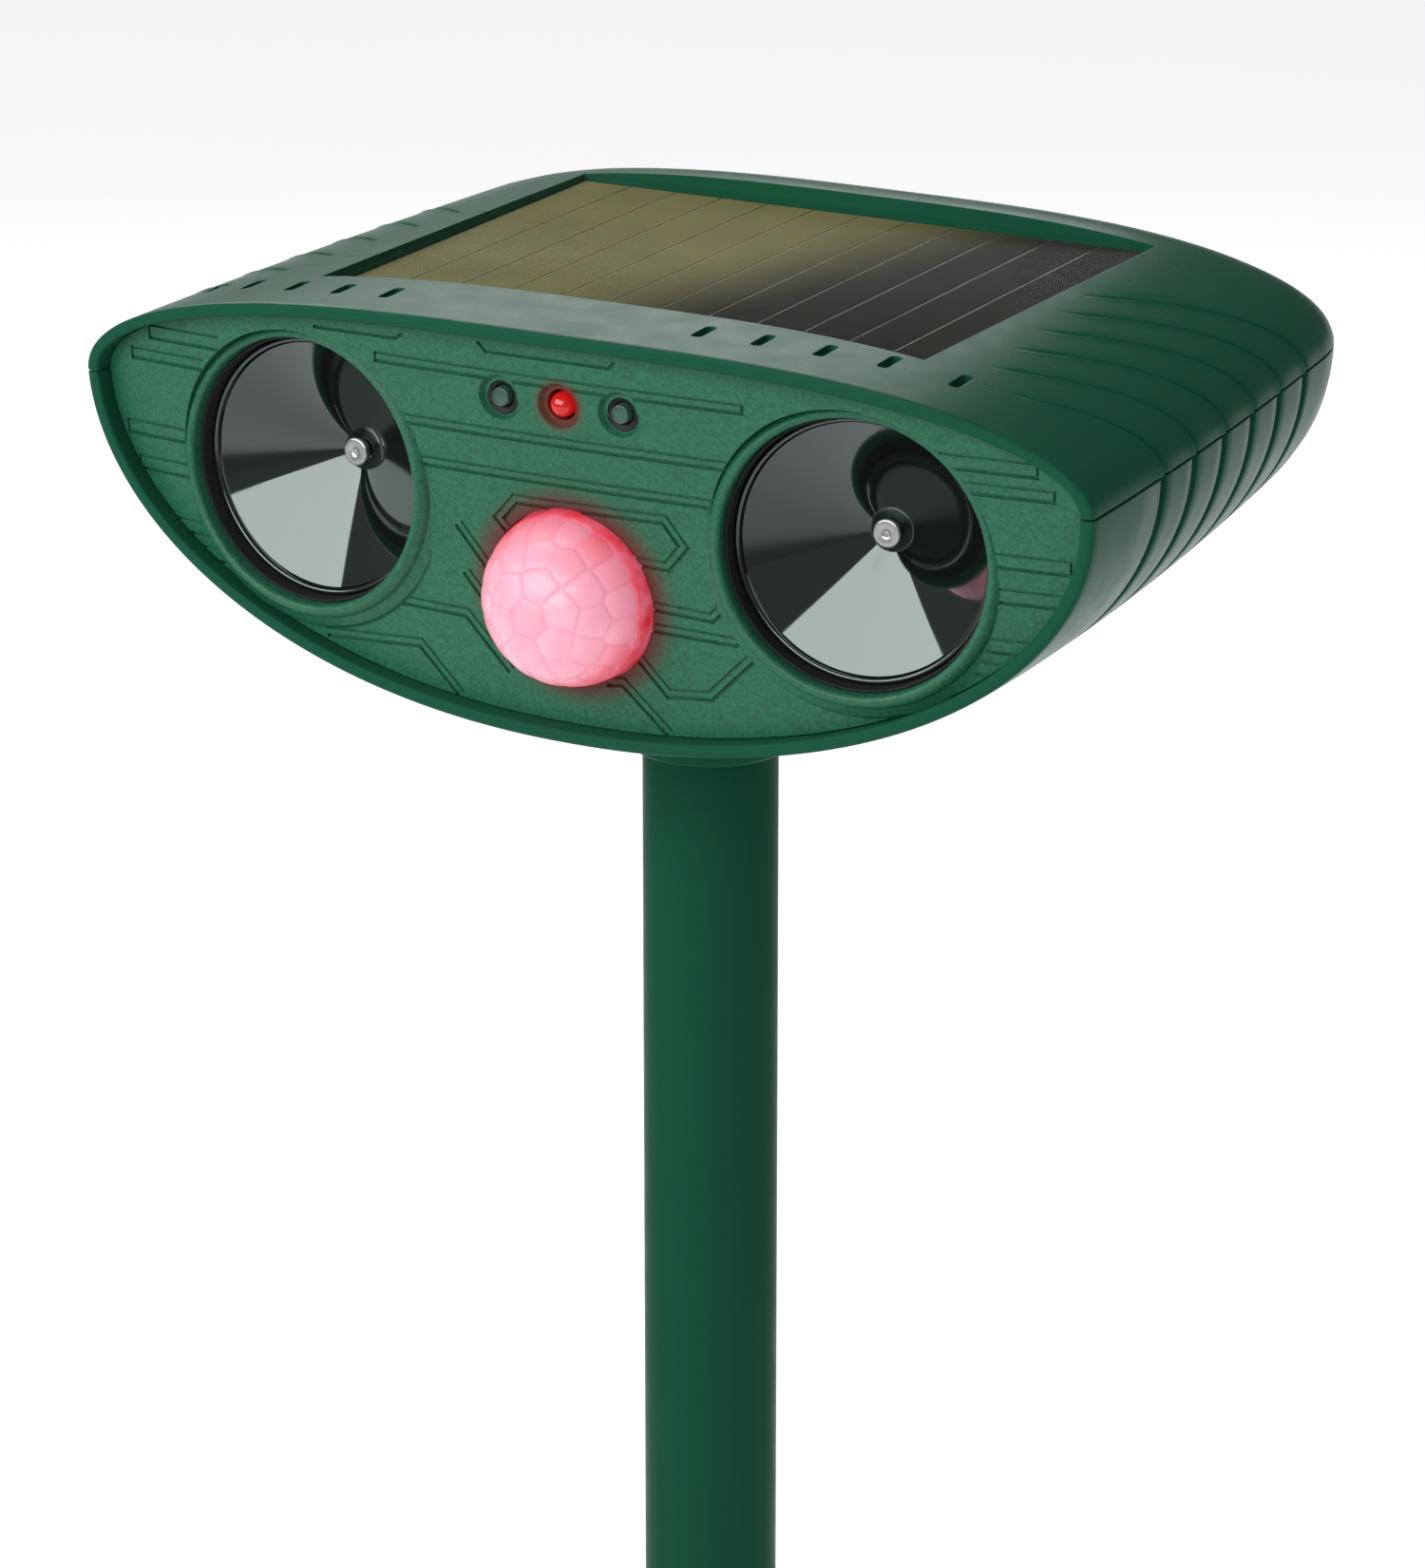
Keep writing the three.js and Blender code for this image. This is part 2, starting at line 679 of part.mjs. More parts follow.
// Motion sensor, its board and the three lamps
const outOfFace = { turnX: Math.PI / 2 };
const domeY = frontY(0, DOME.z) + FACE_DEPTH + 0.2;
const boardFrontY = -32.6;
head.add(piece('sensor_dome', sensorDome(), paint(0xf5c6cb, 0.35), { y: domeY, z: DOME.z, ...outOfFace }));
const canPlace = { y: boardFrontY, z: DOME.z, ...outOfFace };
head.add(piece('motion_sensor', sensorCan(), paint(0xc9ccd0, 0.3, 1), canPlace));
const lampLength = boardFrontY + 43;
for (const [name, x, colour] of [
  ['flash_lamp_left', -LAMP_PITCH, 0xd8e6de],
  ['status_lamp_red', 0, 0xd1101a],
  ['flash_lamp_right', LAMP_PITCH, 0xd8e6de],
]) {
  const bulb = lampBulb(LAMP_RADIUS, lampLength);
  head.add(piece(name, bulb, paint(colour, 0.1), { x, y: boardFrontY, ...outOfFace }));
}
const sensorBoardScrews = [[-14, 14], [14, 14]];
const sensorBoard = circuitBoard(34, 48, sensorBoardScrews);
const sensorBoardZ = -18;
const sensorBoardPlace = { y: boardFrontY + 1.1, z: sensorBoardZ };
head.add(piece('sensor_board', sensorBoard, boardGreen(), sensorBoardPlace));
for (const [label, [x, z]] of [['left', sensorBoardScrews[0]], ['right', sensorBoardScrews[1]]]) {
  const place = { x, y: boardFrontY - 1.6, z: sensorBoardZ + z, turnX: -Math.PI / 2 };
  head.add(piece(`sensor_board_screw_${label}`, boardScrew(), steel(), place));
}

// Battery
const cellPlace = { x: 0, y: 33, z: -34.2 };
head.add(piece('battery_holder', cellHolder(), paint(0x17181a, 0.5), cellPlace));
const cellTurn = { turnY: Math.PI / 2 };
head.add(piece('battery_cell', batteryCell(), paint(0x3f6fa8, 0.4), { x: -32.8, y: 33, z: -22.3, ...cellTurn }));
head.add(piece('battery_contact_left', contactSpring(1), steel(), { x: -35.5, y: 33, z: -23.3 }));
head.add(piece('battery_contact_right', contactSpring(-1), steel(), { x: 35.5, y: 33, z: -23.3 }));

// Main board with the rotary switch and the charging port
const mainBoardY = BACK_Y - 11.5;
const mainBoardScrews = [[-36, 8], [36, 8]];
const mainBoard = circuitBoard(80, 22, mainBoardScrews);
head.add(piece('main_board', mainBoard, boardGreen(), { y: mainBoardY, z: -13 }));
for (const [label, [x, z]] of [['left', mainBoardScrews[0]], ['right', mainBoardScrews[1]]]) {
  const place = { x, y: mainBoardY + 3.1, z: z - 13, turnX: Math.PI / 2 };
  head.add(piece(`main_board_screw_${label}`, boardScrew(), steel(), place));
}

// Controls on the back wall
const outOfBack = { turnX: -Math.PI / 2 };
head.add(piece('mode_dial', modeDial(), paint(0x141615, 0.5), { x: DIAL.x, y: BACK_Y + 1, z: DIAL.z, ...outOfBack }));
head.add(piece('dial_seal', sealRing(), blackRubber(), { x: DIAL.x, y: BACK_Y + 0.9, z: DIAL.z, ...outOfBack }));
const switchPlace = { x: DIAL.x, y: mainBoardY + 4.1, z: DIAL.z };
head.add(piece('rotary_switch', rotarySwitch(), paint(0x2b2d30, 0.5), switchPlace));
head.add(piece('charge_port', chargePort(), steel(), { x: PORT.x, y: mainBoardY + 1.1, z: PORT.z }));
head.add(piece('port_cover', portCover(), blackRubber(), { x: PORT.x, y: BACK_Y + GAP, z: PORT.z + 5.6 }));

// Leads from the speakers, sensor board, solar panel and battery to the main board
const boardFace = mainBoardY - 1.3;
const redLead = () => paint(0xa01818, 0.5);
const blackLead = () => paint(0x141414, 0.5);
for (const [side, label] of [[-1, 'left'], [1, 'right']]) {
  const route = [
    [side * 42.3, -15.4, -15.8],
    [side * 39, -8, -14],
    [side * 33, 15, -8],
    [side * 30, 40, -9],
    [side * 30, boardFace, -10],
  ];
  head.add(piece(`speaker_lead_${label}`, lead(route), redLead()));
}
const sensorRoute = [[0, -30.2, -4], [0, -18, -6], [0, 20, -6], [0, boardFace, -6]];
head.add(piece('sensor_lead', lead(sensorRoute), blackLead()));
const solarRoute = [[12, 36, 5.6], [12, 37, 1], [12, 45, -7], [12, boardFace, -8]];
head.add(piece('solar_lead', lead(solarRoute), redLead()));
const batteryRoute = [[-35.2, 33, -16.9], [-35, 36, -13], [-34, 45, -12], [-34, boardFace, -12]];
head.add(piece('battery_lead', lead(batteryRoute), blackLead()));

// Case screws, driven up from the underside
SCREW_PLACES.forEach((place, i) => {
  const z = screwSeat(place) - 2.7;
  head.add(piece(`case_screw_${i + 1}`, caseScrew(SCREW.length), steel(), { x: place.x, y: place.y, z }));
});

export default repeller;
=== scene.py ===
"""Solar ultrasonic pest repeller: the looks of its pieces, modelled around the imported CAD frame."""

import math

import bmesh
import bpy
import numpy as np
from mathutils import Matrix, Vector


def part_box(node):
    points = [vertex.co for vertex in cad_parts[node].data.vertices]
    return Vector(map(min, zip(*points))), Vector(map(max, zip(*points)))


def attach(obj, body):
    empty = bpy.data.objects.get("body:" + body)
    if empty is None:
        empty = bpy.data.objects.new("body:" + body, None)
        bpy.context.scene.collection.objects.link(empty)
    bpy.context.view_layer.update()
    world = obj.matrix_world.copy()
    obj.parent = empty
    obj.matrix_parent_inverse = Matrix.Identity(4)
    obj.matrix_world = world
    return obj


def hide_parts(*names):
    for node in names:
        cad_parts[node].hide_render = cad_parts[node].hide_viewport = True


bl_info = {
    "name": "Solar Pest Repeller",
    "version": (1, 0, 0),
    "blender": (4, 5, 0),
    "location": "3D View > Sidebar > Repeller",
    "description": "Models the case, speakers, sensor, solar panel and stake of a garden pest repeller",
    "category": "Object",
}

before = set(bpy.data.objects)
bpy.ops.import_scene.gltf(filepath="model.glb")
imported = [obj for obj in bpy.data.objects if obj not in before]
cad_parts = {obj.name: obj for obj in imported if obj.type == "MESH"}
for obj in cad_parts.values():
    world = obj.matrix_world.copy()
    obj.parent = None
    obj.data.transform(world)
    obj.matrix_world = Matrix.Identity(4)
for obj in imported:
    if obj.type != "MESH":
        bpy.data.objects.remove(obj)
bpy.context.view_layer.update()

MM = 0.001

# ---- Places and sizes taken from the frame --------------------------------------------------------

LAMP_LOW, LAMP_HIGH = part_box("status_lamp_red")
CASE_LOW, CASE_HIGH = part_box("lower_shell")
POLE_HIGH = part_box("pole_tube")[1]
SPIKE_LOW, SPIKE_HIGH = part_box("ground_spike")
PANEL_LOW, PANEL_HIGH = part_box("solar_cover")
DIAL_LOW, DIAL_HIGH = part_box("mode_dial")
FLAP_LOW, FLAP_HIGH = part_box("port_cover")

HEAD_Z = (LAMP_LOW.z + LAMP_HIGH.z) / 2
BACK_Y = CASE_HIGH.y
PARTING_Z = -5.6 * MM
PARTING_WORLD_Z = HEAD_Z + PARTING_Z

# ---- The head's outer form, measured from the parting line ----------------------------------------

FRONT_Y = -45 * MM
FRONT_LEAN = 0.11
FRONT_BOW = 0.8
HALF_WIDTH = (77.5 * MM, 70.4 * MM)
CROWN = (16.5 * MM, 15.4 * MM)
BELLY = (42.8 * MM, 33.5 * MM)
CROWN_POWER = (2.83, 3.1)
BELLY_POWER = (2.14, 3.1)
WIDTH_TAPER = 1.7
BELLY_TAPER = 1.47
ROUND_LENGTH = 17.5 * MM
ROUND_INSET = 11 * MM
STRAIGHT = 1 - ROUND_LENGTH / (BACK_Y - FRONT_Y)
WALL = 2 * MM
LIP_ROUND = 0.6 * MM
PARTING_GAP = 0.12 * MM
PARTING_CHAMFER = 0.12 * MM

# Grooves across both sides of the case
GROOVE_COUNT = 6
GROOVE_Y = -16.9 * MM
GROOVE_PITCH = 11.25 * MM
GROOVE_SLANTS = [0.73 + 0.054 * i for i in range(GROOVE_COUNT)]
GROOVE_SIDES = [(76.6 - 0.75 * i) * MM for i in range(GROOVE_COUNT)]
GROOVE_STARTS = [61 * MM] + [(56.8 - 1.25 * i) * MM for i in range(1, GROOVE_COUNT)]
LOWER_GROOVE_START = 52 * MM

# A groove's cross-section, as millimetres along the case and a share of the groove's depth
UPPER_PROFILE = [
    (-1.9, 0), (-1.45, -0.14), (-1.0, -0.2), (-0.66, 0.05), (-0.42, 0.8), (-0.1, 1), (0.3, 1), (0.5, 0.55),
    (0.85, 0.1), (1.25, 0),
]
LOWER_PROFILE = [
    (-1.35, 0), (-1.12, 0.12), (-0.95, 0.6), (-0.82, 1), (0, 1), (0.82, 1), (0.95, 0.6), (1.12, 0.12), (1.35, 0),
]

# Slots on top as x and y, and case screws as x, y and the height of their seat, in millimetres
SLOT_SPOTS = [
    (-63.5, -28.2), (-55.7, -30.3), (-46.7, -33.3), (-38.3, -34.8), (-30.2, -35.4),
    (17.8, -34.7), (26.3, -34.0), (35.1, -33.1), (43.7, -31.5), (53.7, -30.6),
]

SCREW_SPOTS = [(-46, 2, -26), (46, 2, -26), (-46, 47, -22), (46, 47, -22)]

# Speakers, sensor and lamps
SPEAKER_SPOT = (42.3 * MM, -36.45 * MM, -15.8 * MM)
SPEAKER_TURN = 0.091
COLLAR_BORE = 18.95 * MM
DISH_RADIUS = 18.4 * MM
DISH_DEPTH = 10.5 * MM
DOME_Z = -27.4 * MM
DOME_RADIUS = 12.3 * MM
LAMP_PITCH = 9.2 * MM
FACE_DEPTH = 3 * MM
FACE_THICKNESS = 2.4 * MM


class RepellerFinish(bpy.types.PropertyGroup):
    """Colours and surface of the repeller's pieces"""

    case_green: bpy.props.FloatVectorProperty(
        name="Case Green", description="Colour of the moulded case",
        subtype="COLOR", size=3, default=(0.0145, 0.115, 0.062), min=0, max=1)
    face_green: bpy.props.FloatVectorProperty(
        name="Face Green", description="Colour of the grained front plate",
        subtype="COLOR", size=3, default=(0.031, 0.215, 0.118), min=0, max=1)
    pole_green: bpy.props.FloatVectorProperty(
        name="Pole Green", description="Colour of the pole and spike",
        subtype="COLOR", size=3, default=(0.0125, 0.094, 0.051), min=0, max=1)
    groove_depth: bpy.props.FloatProperty(
        name="Groove Depth", description="Depth of the grooves down both sides of the case",
        default=0.8 * MM, min=0, max=1.5 * MM, unit="LENGTH")
    relief_depth: bpy.props.FloatProperty(
        name="Relief Depth", description="Depth of the lines pressed into the front plate",
        default=0.55 * MM, min=0, max=1 * MM, unit="LENGTH")


class RepellerView(bpy.types.PropertyGroup):
    """Camera and lights"""

    focal_length: bpy.props.FloatProperty(
        name="Focal Length", description="Focal length of the camera's lens in millimetres",
        default=134.18, min=20)
    distance: bpy.props.FloatProperty(
        name="Distance", description="Distance of the camera from the middle of the face",
        default=777.1 * MM, min=0.1, unit="LENGTH")
    turn: bpy.props.FloatProperty(
        name="Turn", description="Angle of the camera to the right of the face", default=0.4956, subtype="ANGLE")
    tilt: bpy.props.FloatProperty(
        name="Tilt", description="Angle of the camera above the face", default=0.3365, subtype="ANGLE")
    shift_right: bpy.props.FloatProperty(
        name="Shift Right", description="How far the camera stands to its right of the aim point",
        default=21.48 * MM, unit="LENGTH")
    shift_up: bpy.props.FloatProperty(
        name="Shift Up", description="How far the camera stands above the aim point",
        default=-49.75 * MM, unit="LENGTH")
    key_power: bpy.props.FloatProperty(
        name="Key Light", description="Power of the wide soft panel in front", default=14.0, unit="POWER")
    back_power: bpy.props.FloatProperty(
        name="Back Light", description="Power of the soft light behind, which glances off the top", default=2.6,
        unit="POWER")
    world_light: bpy.props.FloatProperty(
        name="Surroundings", description="Brightness of the dim surroundings", default=0.14, min=0)


# ---- Small modelling helpers ----------------------------------------------------------------------

def only(piece):
    """Selects one object and nothing else."""
    bpy.ops.object.select_all(action="DESELECT")
    piece.select_set(True)
    bpy.context.view_layer.objects.active = piece


def edit(piece, *steps):
    """Runs edit-mode steps on one piece, each on the whole of it."""
    only(piece)
    bpy.ops.object.mode_set(mode="EDIT")
    for step in steps:
        bpy.ops.mesh.select_all(action="SELECT")
        step()
    bpy.ops.object.mode_set(mode="OBJECT")


def merge_doubles():
    bpy.ops.mesh.remove_doubles(threshold=1e-6)


def face_outwards():
    bpy.ops.mesh.normals_make_consistent(inside=False)


def mm(*values):
    """A place or size given in millimetres."""
    return Vector(values) * MM


def primitive(name, add, **settings):
    """Adds a primitive with one of Blender's operators and puts its place into its mesh."""
    bpy.ops.object.select_all(action="DESELECT")
    add(**settings)
    piece = bpy.context.object
    only(piece)
    bpy.ops.object.transform_apply(location=True, rotation=True, scale=True)
    piece.name = name
    piece.data.name = name
    return piece


def mesh_piece(name, points, edges, faces):
    """A piece made from bare points, edges and faces."""
    mesh = bpy.data.meshes.new(name)
    mesh.from_pydata(points, edges, faces)
    piece = bpy.data.objects.new(name, mesh)
    bpy.context.scene.collection.objects.link(piece)
    return piece


def block(name, low, high):
    """A box between two corners."""
    low, high = Vector(low), Vector(high)
    return primitive(name, bpy.ops.mesh.primitive_cube_add, size=1, location=(low + high) / 2, scale=high - low)


def bar_z(name, radius, low, high, x, y, sides=64):
    """A round bar standing along Z."""
    return primitive(name, bpy.ops.mesh.primitive_cylinder_add, vertices=sides, radius=radius,
                     depth=high - low, location=(x, y, (low + high) / 2))


def bar_y(name, radius, low, high, x, z, sides=64, far_radius=None):
    """A round bar or cone lying along Y, with its near end at low."""
    far = radius if far_radius is None else far_radius
    return primitive(name, bpy.ops.mesh.primitive_cone_add, vertices=sides, radius1=far, radius2=radius,
                     depth=high - low, location=(x, (low + high) / 2, z), rotation=(math.pi / 2, 0, 0))


def apply_modifier(piece, kind, **settings):
    """Adds one modifier, sets it and applies it."""
    only(piece)
    bpy.ops.object.modifier_add(type=kind)
    modifier = piece.modifiers[-1]
    for key, value in settings.items():
        setattr(modifier, key, value)
    bpy.ops.object.modifier_apply(modifier=modifier.name)


def combine(piece, other, operation):
    """Joins, cuts or crosses a piece with another, which is used up."""
    before = len(piece.data.vertices)
    apply_modifier(piece, "BOOLEAN", operation=operation, object=other, solver="MANIFOLD")
    if len(piece.data.vertices) in (0, before):
        raise RuntimeError(f"{piece.name} could not be combined with {other.name}")
    bpy.data.objects.remove(other)


def join(pieces, name):
    """Makes several objects one."""
    only(pieces[0])
    for piece in pieces[1:]:
        piece.select_set(True)
    bpy.ops.object.join()
    pieces[0].name = name
    return pieces[0]


def soften(piece, width, segments=2, angle=40):
    """Rounds every edge sharper than an angle."""
    apply_modifier(piece, "BEVEL", width=width, segments=segments, limit_method="ANGLE",
                   angle_limit=math.radians(angle), use_clamp_overlap=True)


def thicken(piece, depth):
    """Pulls a flat piece out along Y."""

    def extrude():
        bpy.ops.mesh.extrude_region_move(TRANSFORM_OT_translate={"value": (0, depth, 0)})

    edit(piece, extrude, face_outwards)


def shade(piece, angle):
    only(piece)
    bpy.ops.object.shade_smooth_by_angle(angle=math.radians(angle))


def paint(piece, *materials):
    piece.data.materials.clear()
    for material in materials:
        piece.data.materials.append(material)


def arc(radius, height, size, start, end, steps=6):
    """Points of a round corner in an outline, by its centre, size and angles in degrees."""
    angles = [math.radians(start + (end - start) * i / steps) for i in range(steps + 1)]
    return [(radius + size * math.cos(a), height + size * math.sin(a)) for a in angles]


def turned(name, outline, matrix=Matrix(), steps=96, closed=False):
    """A turned piece: an outline of radius and height in millimetres, spun about its own axis."""
    points = [(radius * MM, 0, height * MM) for radius, height in outline]
    edges = [(i, i + 1) for i in range(len(points) - 1)]
    if closed:
        edges.append((len(points) - 1, 0))
    piece = mesh_piece(name, points, edges, [])

    def spin():
        bpy.ops.mesh.spin(steps=steps, angle=2 * math.pi, center=(0, 0, 0), axis=(0, 0, 1))

    edit(piece, spin, merge_doubles, face_outwards)
    piece.data.transform(matrix)
    return piece


def copy_piece(piece, name, matrix):
    """A copy with its own mesh, moved by a matrix."""
    copy = piece.copy()
    copy.data = piece.data.copy()
    copy.name = name
    copy.data.name = name
    bpy.context.scene.collection.objects.link(copy)
    copy.data.transform(matrix)
    return copy


def lying(place, turn):
    """A matrix that stands a turned piece's axis along Y at a place: towards the front at +90 degrees."""
    return Matrix.Translation(place) @ Matrix.Rotation(math.radians(turn), 4, "X")


def settle(piece, body, slot, *nodes):
    """Attaches a finished piece to its body and hides the CAD nodes that it stands for."""
    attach(piece, body)
    if nodes:
        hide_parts(*nodes)


def complete(piece, angle, finish, body, slot, *nodes):
    """Smooths a piece below an angle, paints it and settles it."""
    if angle:
        shade(piece, angle)
    paint(piece, Finishes.get(finish))
    settle(piece, body, slot, *nodes)


# ---- Materials ------------------------------------------------------------------------------------

class Nodes:
    """A material's node tree, with short calls for the nodes that the finishes share."""

    def __init__(self, name):
        self.material = bpy.data.materials.new(name)
        self.material.use_nodes = True
        self.tree = self.material.node_tree
        self.shader = self.tree.nodes["Principled BSDF"]
        self.place = self.add("ShaderNodeTexCoord").outputs["Object"]

    def feed(self, socket, source):
        """Links a socket to another one, or sets its value."""
        if isinstance(source, bpy.types.NodeSocket):
            self.tree.links.new(source, socket)
        else:
            socket.default_value = source

    def add(self, kind, links=None, **values):
        node = self.tree.nodes.new(kind)
        for key, value in values.items():
            setattr(node, key, value)
        for socket, source in (links or {}).items():
            self.feed(node.inputs[socket], source)
        return node

    def set(self, **values):
        for key, value in values.items():
            self.feed(self.shader.inputs[key.replace("_", " ")], value)

    def noise(self, size, detail=2.0, roughness=0.5):
        """Cloudy pattern whose patches measure about size."""
        links = {"Vector": self.place, "Scale": 1 / size, "Detail": detail, "Roughness": roughness}
        return self.add("ShaderNodeTexNoise", links).outputs["Fac"]

    def spread(self, source, low, high, from_low=0.3, from_high=0.7):
        """Maps a pattern to a range of values."""
        links = {"Value": source, "From Min": from_low, "From Max": from_high, "To Min": low, "To Max": high}
        return self.add("ShaderNodeMapRange", links).outputs["Result"]

    def blend(self, factor, first, second):
        """Mixes two colours."""
        node = self.add("ShaderNodeMix", data_type="RGBA")
        self.feed(node.inputs[0], factor)
        for index, colour in ((6, first), (7, second)):
            plain = not isinstance(colour, bpy.types.NodeSocket)
            self.feed(node.inputs[index], (*colour[:3], 1) if plain else colour)
        return node.outputs[2]

    def bump(self, source, height, under=None):
        links = {"Height": source, "Distance": height, "Strength": 1.0}
        if under is not None:
            links["Normal"] = under
        return self.add("ShaderNodeBump", links).outputs["Normal"]

    def soft_edges(self, radius):
        return self.add("ShaderNodeBevel", {"Radius": radius}, samples=4).outputs["Normal"]


def tint(colour, factor):
    return tuple(min(1.0, channel * factor) for channel in colour)


def moulded_plastic(name, colour, roughness, grain_size=0.35 * MM, grain_height=0.004 * MM,
                    variation=0.07, edge=0.0, shine=0.5):
    """Moulded plastic: faint flow marks, uneven gloss and a fine moulded grain."""
    nodes = Nodes(name)
    flow = nodes.noise(18 * MM, 3)
    cloudy = nodes.blend(flow, tint(colour, 1 - variation), tint(colour, 1 + variation))
    gloss = nodes.spread(nodes.noise(5 * MM, 4), roughness * 0.88, roughness * 1.12)
    under = nodes.soft_edges(edge) if edge else None
    grain = nodes.bump(nodes.noise(grain_size, 2), grain_height, under)
    nodes.set(Base_Color=cloudy, Roughness=gloss, Normal=grain, Specular_IOR_Level=shine)
    return nodes.material


def grained_face(name, colour):
    """Front plate: spark-eroded grain, and a painted red glow of the lens and lamp on the plastic round them."""
    nodes = Nodes(name)
    flow = nodes.blend(nodes.noise(22 * MM, 3), tint(colour, 0.90), tint(colour, 1.12))
    pits = nodes.noise(0.55 * MM, 3, 0.6)
    grain_and_painted_glow = nodes.blend(nodes.spread(pits, 0, 1, 0.34, 0.66), tint(colour, 0.62), flow)
    # Painted red glow: the light of the lens and the lit lamp is painted onto the plate round them, fading
    # outwards.
    for height, inner, outer, red in (
            (HEAD_Z + DOME_Z, DOME_RADIUS, DOME_RADIUS + 4.5 * MM, (0.16, 0.012, 0.018)),
            (HEAD_Z, 2.2 * MM, 4.4 * MM, (0.20, 0.012, 0.012))):
        flat = nodes.add("ShaderNodeVectorMath", {0: nodes.place, 1: (1, 0, 1)}, operation="MULTIPLY")
        away = nodes.add("ShaderNodeVectorMath", {0: flat.outputs[0], 1: (0, 0, height)}, operation="DISTANCE")
        painted_glow_reach = nodes.add("ShaderNodeMapRange", {"Value": away.outputs["Value"], "From Min": inner,
                                                "From Max": outer, "To Min": 0.85, "To Max": 0},
                         interpolation_type="SMOOTHSTEP")
        grain_and_painted_glow = nodes.blend(painted_glow_reach.outputs["Result"], grain_and_painted_glow, red)
    under = nodes.soft_edges(0.12 * MM)
    nodes.set(Base_Color=grain_and_painted_glow, Roughness=nodes.spread(nodes.noise(5 * MM, 4), 0.36, 0.46),
              Specular_IOR_Level=0.45, Normal=nodes.bump(pits, 0.07 * MM, under))
    return nodes.material


def rubber(name):
    """Matt rubber with a dusty bloom."""
    nodes = Nodes(name)
    colour = (0.012, 0.012, 0.013)
    bloom = nodes.blend(nodes.spread(nodes.noise(2.5 * MM, 5), 0, 0.35), colour, tint(colour, 2.4))
    grain = nodes.bump(nodes.noise(0.25 * MM, 3), 0.012 * MM)
    nodes.set(Base_Color=bloom, Roughness=nodes.spread(nodes.noise(1.5 * MM), 0.55, 0.8), Normal=grain)
    return nodes.material


def polished_black(name):
    """Dish plastic, polished like a mirror, with the faintest ripple."""
    nodes = Nodes(name)
    haze = nodes.spread(nodes.noise(6 * MM, 3), 0.035, 0.06)
    colour = nodes.blend(nodes.noise(9 * MM), (0.004, 0.006, 0.005), (0.007, 0.009, 0.008))
    ripple = nodes.bump(nodes.noise(7 * MM, 1), 0.004 * MM)
    # The green specular tint paints a green reflection of the surroundings into the dish's gloss.
    nodes.set(Base_Color=colour, Roughness=haze, Normal=ripple, IOR=2.3, Specular_Tint=(0.86, 1.0, 0.95, 1))
    return nodes.material


def bright_metal(name, colour=(0.62, 0.63, 0.63), roughness=0.28, brushed=0.15 * MM):
    """Plated or turned metal with fine tool marks."""
    nodes = Nodes(name)
    shade_of = nodes.blend(nodes.noise(1.2 * MM, 3), tint(colour, 0.86), tint(colour, 1.1))
    marks = nodes.bump(nodes.noise(brushed, 2), 0.004 * MM)
    nodes.set(Base_Color=shade_of, Metallic=1.0, Normal=marks,
              Roughness=nodes.spread(nodes.noise(0.8 * MM, 3), roughness * 0.8, roughness * 1.25))
    return nodes.material


def glowing_lens(name):
    """Milky faceted lens with a painted glow: red round its foot, pale pink at its crown."""
    nodes = Nodes(name)
    height, seam, cell = [
        nodes.add("ShaderNodeAttribute", attribute_name=key).outputs["Fac"]
        for key in ("lens_height", "lens_seam", "lens_cell")]
    # Painted glow colour, by height: red round the foot, pale pink at the crown.
    ramp = nodes.add("ShaderNodeValToRGB", {"Fac": height})
    ramp.color_ramp.elements[0].position = 0.05
    ramp.color_ramp.elements[0].color = (0.62, 0.008, 0.014, 1)
    ramp.color_ramp.elements[1].position = 0.85
    ramp.color_ramp.elements[1].color = (0.80, 0.36, 0.44, 1)
    steps = ((0.2, (0.80, 0.035, 0.05, 1)), (0.42, (0.85, 0.15, 0.19, 1)), (0.6, (0.82, 0.28, 0.34, 1)))
    for position, colour in steps:
        ramp.color_ramp.elements.new(position).color = colour
    varied = nodes.blend(nodes.spread(cell, 0, 0.45, 0, 1), ramp.outputs["Color"], (0.86, 0.50, 0.62))
    clouded = nodes.blend(nodes.spread(nodes.noise(3.2 * MM, 2), 0, 0.5), varied, (0.80, 0.26, 0.40))
    seamed = nodes.blend(nodes.spread(seam, 0, 0.22, 0, 1), clouded, (0.62, 0.12, 0.24))
    # The lens holds no lamp: its colour is also fed to emission, which paints its glow.
    nodes.set(Base_Color=seamed, Emission_Color=seamed, Emission_Strength=0.58,
              Roughness=nodes.spread(nodes.noise(1 * MM), 0.28, 0.4), Coat_Weight=0.3, Coat_Roughness=0.15)
    return nodes.material


def solar_cell_finish(name):
    """Thin-film cells: olive at one side turning to dark grey at the other, partly painted reflection; fine
    scribed texture.
    """
    nodes = Nodes(name)
    axes = nodes.add("ShaderNodeSeparateXYZ", {"Vector": nodes.place}).outputs
    slant = nodes.add("ShaderNodeMath", {0: axes["Y"], 1: 0.35}, operation="MULTIPLY").outputs[0]
    across = nodes.add("ShaderNodeMath", {0: axes["X"], 1: slant}, operation="SUBTRACT").outputs[0]
    # Painted reflection: the soft slanted sweep to the lighter olive side stands partly for the lights' glare on
    # the cells.
    painted_glare_sweep = nodes.add("ShaderNodeMapRange", {"Value": across, "From Min": -16 * MM, "From Max": 16 * MM},
                      interpolation_type="SMOOTHSTEP").outputs["Result"]
    film_tint_and_reflection = nodes.blend(painted_glare_sweep, (0.30, 0.27, 0.12), (0.055, 0.052, 0.048))
    mottled = nodes.blend(nodes.spread(nodes.noise(14 * MM, 3), 0, 0.18), film_tint_and_reflection, (0.02, 0.019, 0.018))
    nodes.set(Base_Color=mottled, Roughness=nodes.spread(nodes.noise(3 * MM), 0.3, 0.42),
              Specular_IOR_Level=0.0, Normal=nodes.bump(nodes.noise(0.4 * MM), 0.002 * MM))
    return nodes.material


